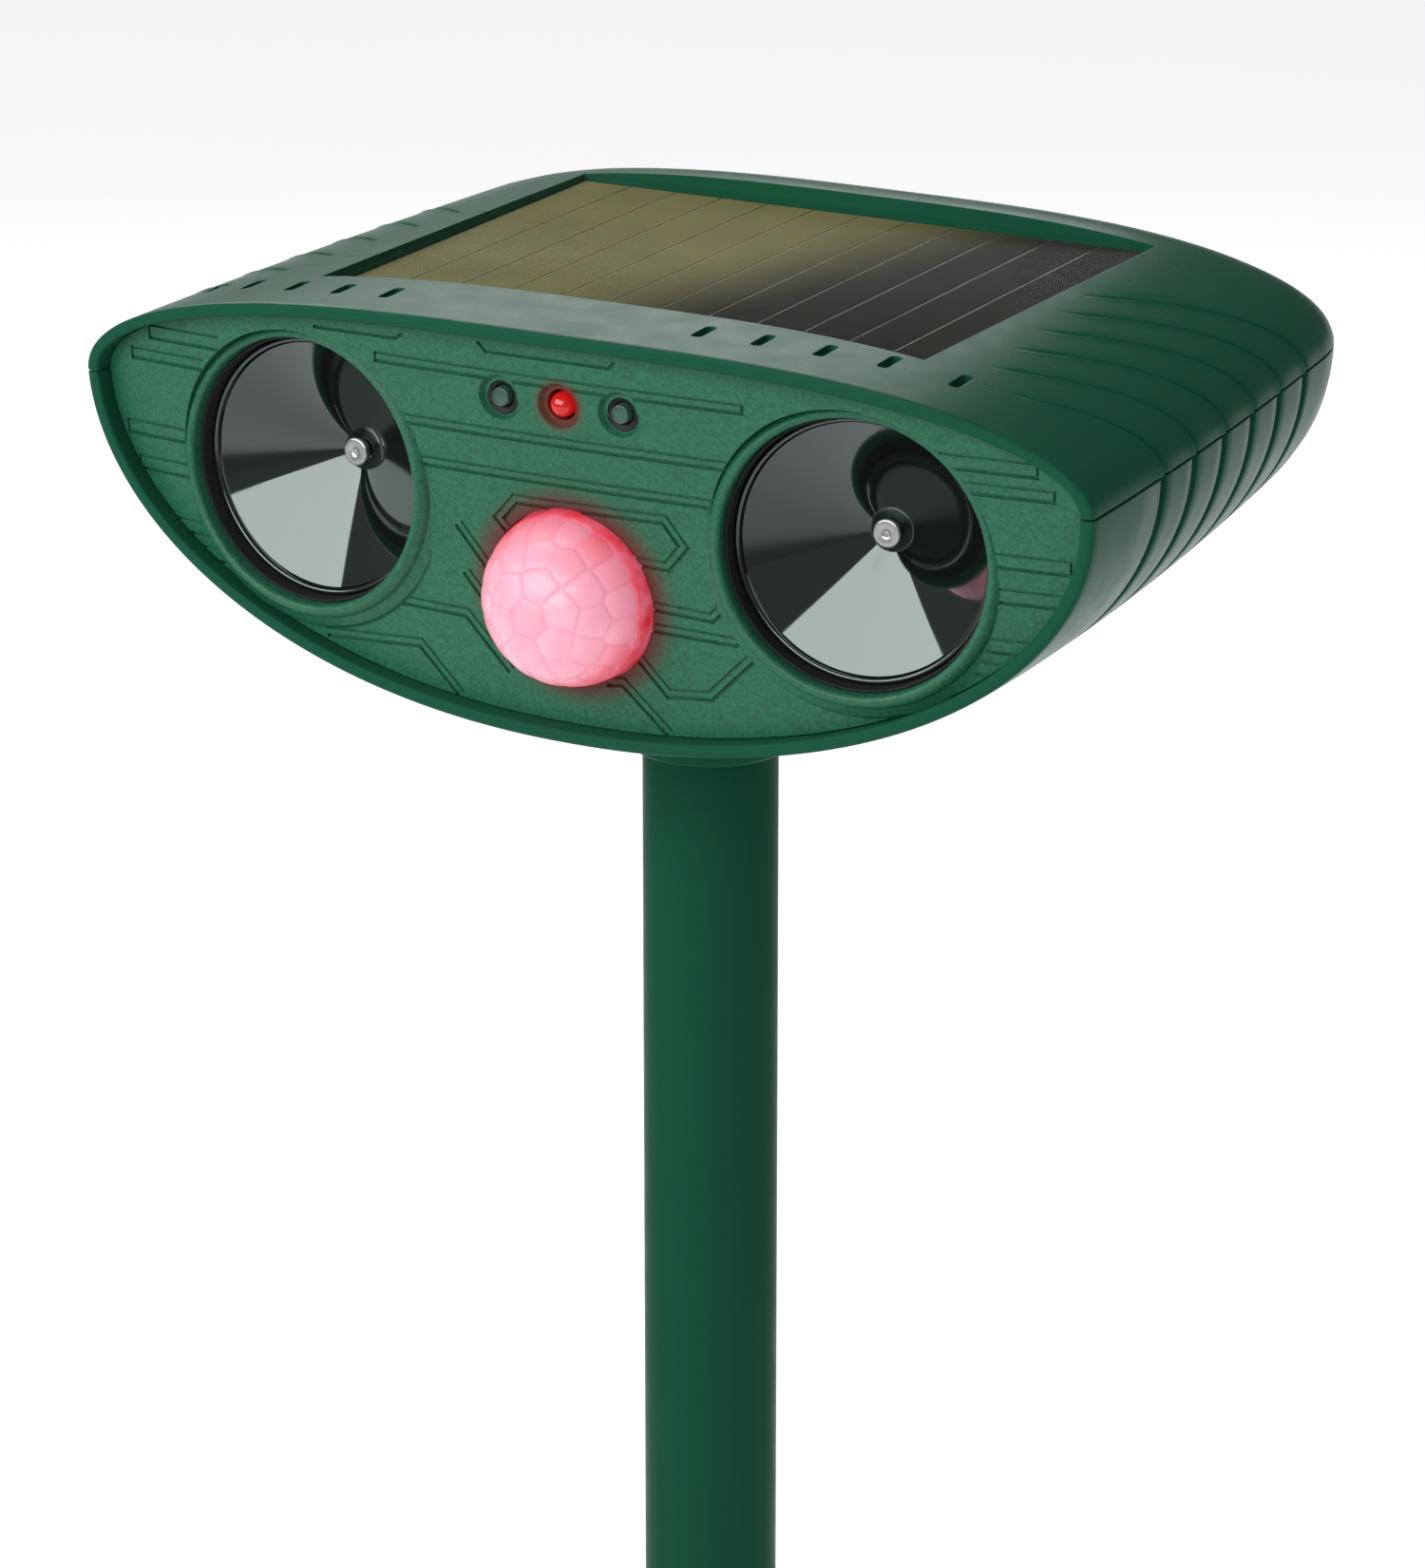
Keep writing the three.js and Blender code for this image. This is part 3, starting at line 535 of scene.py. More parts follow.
def clear_resin(name):
    """Clear cover: what lies under it shows through, with a faint soft gloss on top."""
    gloss, strength = 0.25, 0.012
    nodes = Nodes(name)
    uneven = nodes.spread(nodes.noise(4 * MM, 2), gloss * 0.8, gloss * 1.3)
    shine = nodes.add("ShaderNodeBsdfGlossy", {"Roughness": uneven, "Color": (0.9, 0.9, 0.9, 1)})
    clear = nodes.add("ShaderNodeBsdfTransparent", {"Color": (0.96, 0.97, 0.96, 1)})
    edge = nodes.add("ShaderNodeFresnel", {"IOR": 1.3})
    faint = nodes.add("ShaderNodeMath", {0: edge.outputs[0], 1: strength}, operation="MULTIPLY")
    mixed = nodes.add("ShaderNodeMixShader", {0: faint.outputs[0], 1: clear.outputs[0], 2: shine.outputs[0]})
    nodes.feed(nodes.tree.nodes["Material Output"].inputs["Surface"], mixed.outputs[0])
    nodes.tree.nodes.remove(nodes.shader)
    return nodes.material


def lit_lamp(name, colour, glow, strength):
    """Moulded lamp body that glows from its middle."""
    nodes = Nodes(name)
    tone = nodes.blend(nodes.noise(1.1 * MM, 2), tint(colour, 0.75), tint(colour, 1.2))
    nodes.set(Base_Color=tone, Roughness=nodes.spread(nodes.noise(0.9 * MM), 0.06, 0.12),
              Emission_Color=(*glow, 1), Emission_Strength=strength, Coat_Weight=1.0, Coat_Roughness=0.03)
    return nodes.material


def circuit_board(name):
    """Solder mask over copper tracks, with tinned pads."""
    nodes = Nodes(name)
    links = {"Vector": nodes.place, "Scale": 260.0}
    tracks = nodes.add("ShaderNodeTexVoronoi", links, distance="CHEBYCHEV", feature="DISTANCE_TO_EDGE")
    line = nodes.spread(tracks.outputs["Distance"], 1, 0, 0.04, 0.09)
    mask = nodes.blend(line, (0.008, 0.075, 0.026), (0.020, 0.160, 0.055))
    pads = nodes.add("ShaderNodeTexVoronoi", {"Vector": nodes.place, "Scale": 210.0}).outputs["Distance"]
    dots = nodes.spread(pads, 1, 0, 0.12, 0.15)
    surface = nodes.blend(dots, mask, (0.55, 0.54, 0.50))
    nodes.set(Base_Color=surface, Roughness=nodes.spread(line, 0.32, 0.42, 0, 1), Metallic=dots,
              Normal=nodes.bump(line, 0.03 * MM))
    return nodes.material


def studio_floor(name):
    """Pale paper, glowing a little behind the object."""
    nodes = Nodes(name)
    depth = nodes.add("ShaderNodeSeparateXYZ", {"Vector": nodes.place}).outputs["Y"]
    paper = nodes.blend(nodes.noise(80 * MM, 3), (0.76, 0.76, 0.76), (0.79, 0.79, 0.79))
    glow = nodes.add("ShaderNodeMapRange", {"Value": depth, "From Min": -0.4, "From Max": 0.35, "To Max": 0.75},
                     interpolation_type="SMOOTHSTEP").outputs["Result"]
    nodes.set(Base_Color=paper, Roughness=0.9, Specular_IOR_Level=0.1, Emission_Color=(1, 1, 1, 1),
              Emission_Strength=glow)
    return nodes.material


class Finishes:
    """The object's materials, each made once and found by name."""

    made = {}

    @classmethod
    def get(cls, name):
        if name not in cls.made:
            cls.made[name] = cls.make(name)
        return cls.made[name]

    @staticmethod
    def make(name):
        own = bpy.context.scene.repeller_finish
        make, values = {
            "case_green": (moulded_plastic, {
                "colour": tuple(own.case_green), "roughness": 0.30, "edge": 0.25 * MM,
                "grain_height": 0.003 * MM, "shine": 0.05}),
            "pole_green": (moulded_plastic, {
                "colour": tuple(own.pole_green), "roughness": 0.34, "grain_height": 0.002 * MM, "shine": 0.015}),
            "black_plastic": (moulded_plastic, {
                "colour": (0.014, 0.015, 0.016), "roughness": 0.42, "grain_height": 0.01 * MM}),
            "cell_sleeve": (moulded_plastic, {
                "colour": (0.035, 0.11, 0.30), "roughness": 0.32, "variation": 0.15}),
            "red_lead": (moulded_plastic, {"colour": (0.42, 0.012, 0.012), "roughness": 0.4}),
            "black_lead": (moulded_plastic, {"colour": (0.012, 0.012, 0.012), "roughness": 0.4}),
            "face_green": (grained_face, {"colour": tuple(own.face_green)}),
            "silver_lines": (bright_metal, {"colour": (0.72, 0.71, 0.66), "roughness": 0.4}),
            "cap_silver": (bright_metal, {"colour": (0.70, 0.73, 0.71), "roughness": 0.3, "brushed": 0.3 * MM}),
            "steel": (bright_metal, {}),
            "red_lamp": (lit_lamp, {
                "colour": (0.45, 0.006, 0.008), "glow": (1.0, 0.012, 0.012), "strength": 0.35}),
            # The clear lamps' green body colour is a painted reflection and refraction of the green surroundings
            # in the clear lens.
            "clear_lamp": (lit_lamp, {
                "colour": (0.045, 0.14, 0.095), "glow": (0.2, 0.5, 0.35), "strength": 0.0}),
            "rubber": (rubber, {}),
            "polished_black": (polished_black, {}),
            "glowing_lens": (glowing_lens, {}),
            "solar_cells": (solar_cell_finish, {}),
            "clear_cover": (clear_resin, {}),
            "circuit_board": (circuit_board, {}),
        }[name]
        return make(name, **values)


# ---- The head's case ------------------------------------------------------------------------------

def mix(pair, factor):
    """Runs between two values."""
    return pair[0] + (pair[1] - pair[0]) * factor


def smooth(value):
    """Eases from 0 to 1."""
    value = np.clip(value, 0, 1)
    return value * value * (3 - 2 * value)


def section(angle, along, inset):
    """Cross-section of the head: x, and z above the parting line, at an angle round it."""
    along = np.maximum(along, 0)
    upper = np.sin(angle) >= 0
    width = mix(HALF_WIDTH, along ** WIDTH_TAPER) - inset
    height = np.where(upper, mix(CROWN, along), mix(BELLY, along ** BELLY_TAPER)) - inset
    power = np.where(upper, mix(CROWN_POWER, along), mix(BELLY_POWER, along))
    x = width * np.sign(np.cos(angle)) * np.abs(np.cos(angle)) ** (2 / power)
    return x, height * np.sin(angle)


def front_y(x, z):
    """Depth of the leaning, slightly bowed front edge; z is measured from the parting line."""
    return FRONT_Y + FRONT_BOW * x * x - FRONT_LEAN * z


def guide_y(index, x, z, back):
    """Depth of a guide line: the front edge, one of the grooves, or the start of the rounded back."""
    front = front_y(x, z)
    if index == 0:
        return front + LIP_ROUND
    if index > GROOVE_COUNT:
        return front + (back - front) * STRAIGHT
    step = index - 1
    side = GROOVE_SIDES[step]
    level = GROOVE_STARTS[step] - 3 * MM
    past = np.abs(x) - level
    eased = (past + np.sqrt(past * past + (3 * MM) ** 2)) / 2
    slant = np.where(z > 0, GROOVE_SLANTS[step] * (side - level - eased), 0)
    return GROOVE_Y + GROOVE_PITCH * step - slant


def side_row(angle, inset, wall, index, fraction, offset):
    """One row of points along the case, between two guide lines."""
    along = np.full(angle.shape, 0.5)
    for _ in range(10):
        x, z = section(angle, along, inset)
        low = guide_y(index, x, z, BACK_Y - wall)
        high = guide_y(index + 1, x, z, BACK_Y - wall) if fraction else low
        y = low + (high - low) * fraction + offset
        front = front_y(x, z)
        along = (y - front) / (BACK_Y - wall - front)
    x, z = section(angle, along, inset)
    return np.stack([x, y, z], axis=-1)


def case_rows(angle, wall, chamfer, upper, groove_depth):
    """All rows of one skin of the case from the middle of its lip to the middle of the back wall."""
    rows = []
    lip_round = LIP_ROUND if wall == 0 else -LIP_ROUND
    lip = [(wall + lip_round * (1 - math.sin(turn)), LIP_ROUND * (1 - math.cos(turn)))
           for turn in np.radians([0, 30, 60, 90])]
    for inset, back in [(WALL / 2, 0.0)] + lip:
        x, z = section(angle, np.zeros(angle.shape), inset + chamfer)
        rows.append(np.stack([x, front_y(x, z) + back, z], axis=-1))
    plan = [(0, fraction, 0, 0) for fraction in (0.07, 0.18, 0.33, 0.5, 0.65)]
    profile = UPPER_PROFILE if upper else LOWER_PROFILE
    for index in range(1, GROOVE_COUNT + 1):
        plan += [(index, 0, offset * MM, depth) for offset, depth in profile]
        between = (0.3, 0.5, 0.7) if index < GROOVE_COUNT else (0.25, 0.45, 0.65, 0.85, 1.0)
        plan += [(index, fraction, 0, 0) for fraction in between]
    for index, fraction, offset, depth in plan:
        inset = wall + chamfer
        if depth and groove_depth:
            row = side_row(angle, inset, wall, index, fraction, offset)
            start = GROOVE_STARTS[index - 1] if upper else LOWER_GROOVE_START
            fade = smooth((np.abs(row[:, 0]) - start + 1 * MM) / (7 * MM))
            inset = inset + groove_depth * depth * fade
        rows.append(side_row(angle, inset, wall, index, fraction, offset))
    for turn in np.radians(np.linspace(0, 90, 8)[1:]):
        along = STRAIGHT + (1 - STRAIGHT) * math.sin(turn)
        inset = wall + chamfer + ROUND_INSET * (1 - math.cos(turn))
        x, z = section(angle, np.full(angle.shape, along), inset)
        front = front_y(x, z)
        rows.append(np.stack([x, front + (BACK_Y - wall - front) * along, z], axis=-1))
    last = rows[-1]
    for shrink in (0.8, 0.6, 0.4, 0.2, 0.0):
        flat = last.copy()
        floor = np.minimum(np.abs(last[:, 2]), PARTING_GAP) * np.sign(last[:, 2])
        flat[:, 2] = floor + (last[:, 2] - floor) * shrink
        rows.append(flat)
    return np.array(rows)


def case_angles(upper):
    """Angles round one half of the case, with a narrow strip for the chamfer at the parting line."""
    height = CROWN[0] if upper else BELLY[0]
    edge = [PARTING_GAP / height, (PARTING_GAP + PARTING_CHAMFER) / height]
    middle = np.linspace(2.6 * edge[1], math.pi - 2.6 * edge[1], 117)
    angles = np.concatenate([edge, middle, [math.pi - edge[1], math.pi - edge[0]]])
    return angles if upper else -angles


def skin_grid(name, rows):
    """A grid whose rows are laid along the given rows of points."""
    count, columns = rows.shape[:2]
    piece = primitive(name, bpy.ops.mesh.primitive_grid_add, x_subdivisions=columns - 1,
                      y_subdivisions=count - 1, size=1)
    points = np.empty(count * columns * 3)
    piece.data.vertices.foreach_get("co", points)
    points = points.reshape(-1, 3)
    column = np.rint((points[:, 0] + 0.5) * (columns - 1)).astype(int)
    row = np.rint((points[:, 1] + 0.5) * (count - 1)).astype(int)
    placed = rows[row, column] + np.array([0, 0, PARTING_WORLD_Z])
    piece.data.vertices.foreach_set("co", placed.ravel())
    lookup = np.empty((count, columns), int)
    lookup[row, column] = np.arange(count * columns)
    return piece, lookup


def folded_shell(name, outer, inner):
    """A closed wall: one grid folded over the lip, with its two long sides closed along the parting line."""
    piece, lookup = skin_grid(name, np.concatenate([outer, inner[::-1]]))
    total = lookup.shape[0]
    sheet = bmesh.new()
    sheet.from_mesh(piece.data)
    sheet.verts.ensure_lookup_table()
    for column in (0, -1):
        for row in range(len(outer) - 1):
            corners = [lookup[row, column], lookup[row + 1, column],
                       lookup[total - 2 - row, column], lookup[total - 1 - row, column]]
            if len(set(corners)) == 4:
                sheet.faces.new([sheet.verts[i] for i in corners])
    sheet.to_mesh(piece.data)
    sheet.free()
    edit(piece, merge_doubles, face_outwards)
    return piece


def half_case(name, upper, groove_depth):
    """One half of the case: outer skin, lip and inner skin."""
    angle = case_angles(upper)
    chamfer = np.zeros(angle.shape)
    chamfer[[0, -1]] = PARTING_CHAMFER
    outer = case_rows(angle, 0.0, chamfer, upper, groove_depth)
    inner = case_rows(angle, WALL, chamfer * 0, upper, 0.0)
    inner[0] = outer[0]
    return folded_shell(name, outer, inner)


def half_form(name, upper, inset):
    """Solid form of one half of the head, moved inwards."""
    angle = case_angles(upper)[1:-1:4]
    rows = case_rows(angle, WALL, np.zeros(angle.shape) + inset - WALL, upper, 0.0)[4:]
    piece, _ = skin_grid(name, rows)

    def close():
        bpy.ops.mesh.select_all(action="DESELECT")
        bpy.ops.mesh.select_non_manifold()
        bpy.ops.mesh.edge_face_add()

    edit(piece, merge_doubles, close, face_outwards)
    return piece


def crown_height(x, y):
    """Height of the case's top at a place, above the parting line."""
    z = CROWN[0]
    for _ in range(8):
        front = front_y(x, z)
        along = (y - front) / (BACK_Y - front)
        width = mix(HALF_WIDTH, along ** WIDTH_TAPER)
        power = mix(CROWN_POWER, along)
        z = mix(CROWN, along) * math.sqrt(max(0, 1 - abs(x / width) ** power))
    return z


def slot_cutters():
    """Short slots with round ends along the front of the top."""
    cutters = []
    for x, y in SLOT_SPOTS:
        x, y = x * MM, y * MM
        low = PARTING_WORLD_Z + crown_height(x, y) - 1.3 * MM
        half_width, half_length = 0.8 * MM, 2.9 * MM
        cutter = block("slot_cutter", (x - half_width, y - half_length, low),
                       (x + half_width, y + half_length, low + 6 * MM))
        soften(cutter, 0.7 * MM, 4)
        lean = Matrix.Rotation(0.06, 4, "Z")
        cutter.data.transform(Matrix.Translation((x, y, 0)) @ lean @ Matrix.Translation((-x, -y, 0)))
        cutters.append(cutter)
    return join(cutters, "slot_cutters")


def panel_block(name, margin, below, above):
    """A block round the solar panel's place, from below its top to above it; margin in millimetres."""
    wider = mm(margin, margin)
    low, high = PANEL_LOW.xy - wider, PANEL_HIGH.xy + wider
    return block(name, (*low, PANEL_HIGH.z - below * MM), (*high, PANEL_HIGH.z + above * MM))


def build_upper_shell(groove_depth):
    shell = half_case("case_top", True, groove_depth)
    tray = panel_block("tray", 2.2, 4.6, 12)
    combine(tray, half_form("form", True, 0.7 * MM), "INTERSECT")
    combine(shell, tray, "UNION")
    combine(shell, panel_block("pocket", 0.35, 3, 20), "DIFFERENCE")
    combine(shell, panel_block("window", -4.2, 20, 20), "DIFFERENCE")
    combine(shell, slot_cutters(), "DIFFERENCE")
    complete(shell, 32, "case_green", "head", "shell_green", "upper_shell")


def screw_bars(name, radius, low, high=None):
    """Four upright bars on the places of the case screws, up to their seats if no top is given."""
    bars = []
    for x, y, seat in SCREW_SPOTS:
        top = HEAD_Z + seat * MM if high is None else high
        bars.append(bar_z(name, radius, low, top, x * MM, y * MM, 32))
    return join(bars, name)


def build_lower_shell(groove_depth):
    shell = half_case("case_bottom", False, groove_depth)
    bottom = CASE_LOW.z
    posts = screw_bars("posts", 3.8 * MM, bottom, PARTING_WORLD_Z - 0.3 * MM)
    combine(posts, half_form("form", False, 0.7 * MM), "INTERSECT")
    combine(shell, posts, "UNION")
    outline = [(0, -60)] + arc(11.2, -59.4, 0.6, -90, 0, 4) + [(11.8, -48)] + arc(15.8, -48, 4, 180, 90, 6)
    outline += [(15.8, -41), (0, -41)]
    socket = turned("socket", outline, Matrix.Translation((0, 0, HEAD_Z)), 72)
    combine(shell, socket, "UNION")
    combine(shell, bar_z("stem", 11.8 * MM, HEAD_Z - 45 * MM, HEAD_Z - 26 * MM, 0, 0, 72), "UNION")
    dial = (DIAL_LOW + DIAL_HIGH) / 2
    low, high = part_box("charge_port")
    play = 0.4 * MM
    port = block("port_hole", (low.x - play, BACK_Y - 6 * MM, low.z - play),
                 (high.x + play, BACK_Y + 6 * MM, high.z + play))
    soften(port, 1.2 * MM, 4)
    for cutter in (
            bar_z("bore", 10.0 * MM, HEAD_Z - 70 * MM, HEAD_Z - 28 * MM, 0, 0, 72),
            screw_bars("wells", 3.5 * MM, bottom - 5 * MM),
            screw_bars("bores", 1.9 * MM, bottom - 5 * MM, HEAD_Z + 5 * MM),
            bar_y("dial_hole", 3.6 * MM, BACK_Y - 6 * MM, BACK_Y + 6 * MM, dial.x, dial.z, 48),
            port):
        combine(shell, cutter, "DIFFERENCE")
    complete(shell, 32, "case_green", "head", "shell_green", "lower_shell")


class REPELLER_OT_case(bpy.types.Operator):
    """Model the two halves of the head's case"""

    bl_idname = "repeller.case"
    bl_label = "Case"

    def execute(self, context):
        depth = context.scene.repeller_finish.groove_depth
        build_upper_shell(depth)
        build_lower_shell(depth)
        return {"FINISHED"}


# ---- Front plate ----------------------------------------------------------------------------------

# Lines pressed into the face, as x and z in millimetres from the middle lamp. A channel is a pair of lines.
CHANNELS = [
    [(-30, -5.2), (30, -5.2)],
    [(-30, -10.9), (30, -10.9)],
    [(-17.1, -19.4), (-10, -28.4)],
    [(-16.4, -26.3), (-10, -34.5)],
    [(-30.2, -32.2), (-16.9, -32.4), (-10.4, -39.8)],
    [(-40.6, -39.3), (-24.9, -38.2), (-19.0, -44.7)],
    [(4.8, -39.1), (7.3, -38.8), (13.9, -45.2)],
    [(9, -26.7), (21.4, -27.3), (24.5, -24.4)],
    [(8, -29.9), (24.7, -30.3), (27.5, -27.8)],
    [(9.0, -33.6), (14.2, -39.4), (20.6, -38.8), (28.5, -30.9)],
]
CLOSED_CHANNELS = [
    [(-10.6, -17.5), (-7.8, -14.4), (15.1, -14.1), (17.8, -17.7), (15.1, -20.8), (-7.8, -20.5)],
]
END_BARS = [
    (55.5, 68.8, -0.5, 0.95), (58.0, 71.0, -3.9, 0.75), (62.0, 73.0, -13.6, 0.95), (62.0, 72.0, -18.5, 0.95),
    (60.0, 68.7, -25.7, 0.95), (57.5, 65.4, -29.2, 0.95),
    (-67.5, -55.5, 1.0, 0.95), (-71.0, -58.5, -2.6, 0.75), (-73.0, -62.0, -13.8, 0.95),
    (-71.5, -62.0, -19.0, 0.95), (-67.0, -60.0, -27.4, 0.95), (-63.5, -57.5, -31.0, 0.95),
]
SINGLE_LINES = [
    [(-11.9, 7.4), (-10.9, 6.3), (8.0, 6.4), (8.9, 7.2)],
    [(-38.5, 6.0), (-25.2, 6.2), (-24.2, 6.9)],
]
TOP_SLOT = (-28.8, 27.6, 3.1, 0.6)
CHANNEL_HALF = 0.58


def mitred(points, offset, closed):
    """An outline moved sideways, with its corners kept parallel."""
    count = len(points)
    moved = []
    for i in range(count):
        here = Vector(points[i])
        before = Vector(points[i - 1]) if closed or i else None
        after = Vector(points[(i + 1) % count]) if closed or i < count - 1 else None
        first = (here - before).normalized() if before is not None else (after - here).normalized()
        second = (after - here).normalized() if after is not None else first
        normal = Vector((-first.y - second.y, first.x + second.x)).normalized()
        stretch = 1 / max(0.3, normal.dot(Vector((-first.y, first.x))))
        moved.append(here + normal * offset * stretch)
    return moved


def line_prism(start, end, width, depth):
    """Corners of a tapered bar that presses one straight line into the face."""
    start, end = Vector(start), Vector(end)
    run = (end - start).normalized()
    side = Vector((-run.y, run.x))
    start = start - run * width * 0.42
    end = end + run * width * 0.42
    corners = []
    for point in (start, end):
        for y, half in ((-0.5, width * 0.75), (depth, width * 0.3)):
            for sign in (-1, 1):
                spot = point + side * half * sign
                corners.append((spot.x * MM, y * MM, spot.y * MM))
    return corners


PRISM_FACES = [(0, 1, 3, 2), (4, 6, 7, 5), (0, 4, 5, 1), (2, 3, 7, 6), (0, 2, 6, 4), (1, 5, 7, 3)]


def relief_lines():
    """Every line on the face as start, end, width and share of the depth."""
    lines = []

    def chain(points, width, share, closed=False):
        pairs = list(zip(points, points[1:] + points[:1])) if closed else list(zip(points, points[1:]))
        for start, end in pairs:
            lines.append((start, end, width, share))

    for closed, group in ((False, CHANNELS), (True, CLOSED_CHANNELS)):
        for points in group:
            sides = [mitred(points, offset, closed) for offset in (-CHANNEL_HALF, CHANNEL_HALF)]
            count = len(points) if closed else len(points) - 1
            for i in range(count):
                ends = [(side[i], side[(i + 1) % len(points)]) for side in sides]
                ends.sort(key=lambda pair: pair[0].y + pair[1].y)
                lines.append((*ends[0], 0.5, 1.0))
                lines.append((*ends[1], 0.4, 0.6))
    for left, right, z, half in END_BARS + [TOP_SLOT]:
        chain([(left, z - half), (right, z - half)], 0.5, 1.0)
        chain([(left, z + half), (right, z + half)], 0.4, 0.6)
        if left < 0:
            chain([(left, z - half), (left, z + half)], 0.38, 0.8)
        if right > 0:
            chain([(right, z - half), (right, z + half)], 0.38, 0.8)
    for points in SINGLE_LINES:
        chain(points, 0.46, 1.0)
    return lines


def relief_cutter(depth):
    """All the pressed lines as one cutter, in the flat plate's own frame."""
    points, faces = [], []
    lift = Vector((0, PARTING_Z / MM))
    for start, end, width, share in relief_lines():
        base = len(points)
        points += line_prism(Vector(start) - lift, Vector(end) - lift, width, share * depth / MM)
        faces += [tuple(base + i for i in face) for face in PRISM_FACES]
    cutter = mesh_piece("relief_cutter", points, [], faces)
    edit(cutter, face_outwards)
    return cutter


def flat_plate():
    """The plate's outline, still flat: x and z as on the head, y from its front."""
    clearance = 0.15 * MM
    angle = np.linspace(0, 2 * math.pi, 240, endpoint=False)
    x, z = section(angle, np.full(angle.shape, 0.02), WALL + clearance)
    plate = primitive("front_plate", bpy.ops.mesh.primitive_circle_add, vertices=len(angle), radius=1,
                      fill_type="NGON")
    for vertex, px, pz in zip(plate.data.vertices, x, z):
        vertex.co = (px, 0, pz)

    thicken(plate, FACE_THICKNESS)
    return plate


def cut_face_openings(plate):
    """Recesses and holes for the lamps, the lens and the speakers."""
    holes = []
    for x in (-LAMP_PITCH, 0.0, LAMP_PITCH):
        holes.append(("funnel", 3.35 * MM, -0.25 * MM, 0.9 * MM, x, 0, 48, 2.75 * MM))
        holes.append(("lamp_hole", 2.2 * MM, -2 * MM, 5 * MM, x, 0, 48))
    holes.append(("lens_hole", DOME_RADIUS + 0.25 * MM, -2 * MM, 5 * MM, 0, DOME_Z, 96))
    for side in (-1, 1):
        holes.append(("dish_hole", 20.6 * MM, -2 * MM, 5 * MM, side * SPEAKER_SPOT[0], SPEAKER_SPOT[2], 96))
    for name, radius, low, high, x, z, *rest in holes:
        combine(plate, bar_y(name, radius, low, high, x, z - PARTING_Z, *rest), "DIFFERENCE")


def bow_plate(plate):
    """Adds upright edges and bends the flat plate to the bowed, leaning front."""
    sheet = bmesh.new()
    sheet.from_mesh(plate.data)
    pitch = 2.5 * MM
    reach = int(HALF_WIDTH[0] / pitch)
    for i in range(-reach, reach + 1):
        everything = sheet.verts[:] + sheet.edges[:] + sheet.faces[:]
        bmesh.ops.bisect_plane(
            sheet, geom=everything, dist=1e-7, plane_co=(i * pitch, 0, 0), plane_no=(1, 0, 0))
    for vertex in sheet.verts:
        vertex.co.y += front_y(vertex.co.x, vertex.co.z) + FACE_DEPTH
        vertex.co.z += PARTING_WORLD_Z
    sheet.to_mesh(plate.data)
    sheet.free()


def speaker_matrix(side):
    """The speaker's own frame: its +Z points out of the face, turned outwards a little."""
    x, y, z = SPEAKER_SPOT
    turn = Matrix.Rotation(side * SPEAKER_TURN, 4, "Z")
    return Matrix.Translation((side * x, y, HEAD_Z + z)) @ turn @ lying((0, 0, 0), 90)


def collar(side):
    """Soft raised ring round a speaker dish."""
    bore = COLLAR_BORE / MM
    outline = [(bore, -2.6), (bore, 2.9)] + arc(bore + 0.7, 2.9, 0.7, 180, 60, 6)
    outline += arc(bore + 0.2, 1.7, 1.9, 52, 12, 5)
    outline += arc(24.6, 1.9, 2.3, 196, 262, 6)
    outline += [(24.4, -0.7), (23.6, -2.6)]
    return turned("collar", outline, speaker_matrix(side), 128, closed=True)


class REPELLER_OT_front_plate(bpy.types.Operator):
    """Model the grained front plate with its pressed lines, collars and recesses"""

    bl_idname = "repeller.front_plate"
    bl_label = "Front Plate"

    def execute(self, context):
        depth = context.scene.repeller_finish.relief_depth
        plate = flat_plate()
        cutter = relief_cutter(depth)
        apply_modifier(plate, "BOOLEAN", operation="DIFFERENCE", object=cutter, solver="EXACT", use_self=True)
        bpy.data.objects.remove(cutter)
        cut_face_openings(plate)
        bow_plate(plate)
        for side in (-1, 1):
            combine(plate, collar(side), "UNION")
        complete(plate, 30, "face_green", "head", "face_green", "face_plate")
        return {"FINISHED"}


# ---- Speakers -------------------------------------------------------------------------------------

class REPELLER_OT_speakers(bpy.types.Operator):
    """Model the polished dishes, their sleeves and their silver caps"""

    bl_idname = "repeller.speakers"
    bl_label = "Speakers"

    def execute(self, context):
        rim = DISH_RADIUS / MM
        depth = DISH_DEPTH / MM
        dish_outline = [(0, -depth), (1.6, -depth), (rim - 1.0, -1.0)]
        dish_outline += arc(rim - 0.42, -0.62, 0.42, 150, 0, 8)
        dish_outline += [(rim, -3.9), (21.1, -3.9), (21.1, -5.2), (15.5, -5.2)]
        dish_outline += [(3.4, -depth - 1.6), (0, -depth - 1.6)]
        sleeve_outline = [(rim + 0.1, -3.6), (rim + 0.1, 1.6)] + arc(rim + 0.3, 1.6, 0.2, 180, 0, 6)
        sleeve_outline += [(rim + 0.5, -3.6)]
        cap_outline = [(0, -depth + 0.2), (1.7, -depth + 0.2), (2.0, -9.35)] + arc(1.7, -9.2, 0.3, 0, 90, 5)
        cap_outline += [(0.75, -8.9), (0.55, -8.98), (0.4, -9.1), (0, -9.15)]
        for side, label in ((-1, "left"), (1, "right")):
            place = speaker_matrix(side)
            dish = turned(f"dish_{label}", dish_outline, place, 192)
            complete(dish, 28, "polished_black", "head", "horn_black", f"speaker_horn_{label}")
            sleeve = turned(f"dish_sleeve_{label}", sleeve_outline, place, 128, closed=True)
            complete(sleeve, 40, "rubber", "head", "black_rubber")
            cap = turned(f"dish_cap_{label}", cap_outline, place, 64)
            complete(cap, 30, "cap_silver", "head", "cap_silver", f"speaker_cap_{label}")
        return {"FINISHED"}


# ---- Motion sensor lens and lamps -----------------------------------------------------------------

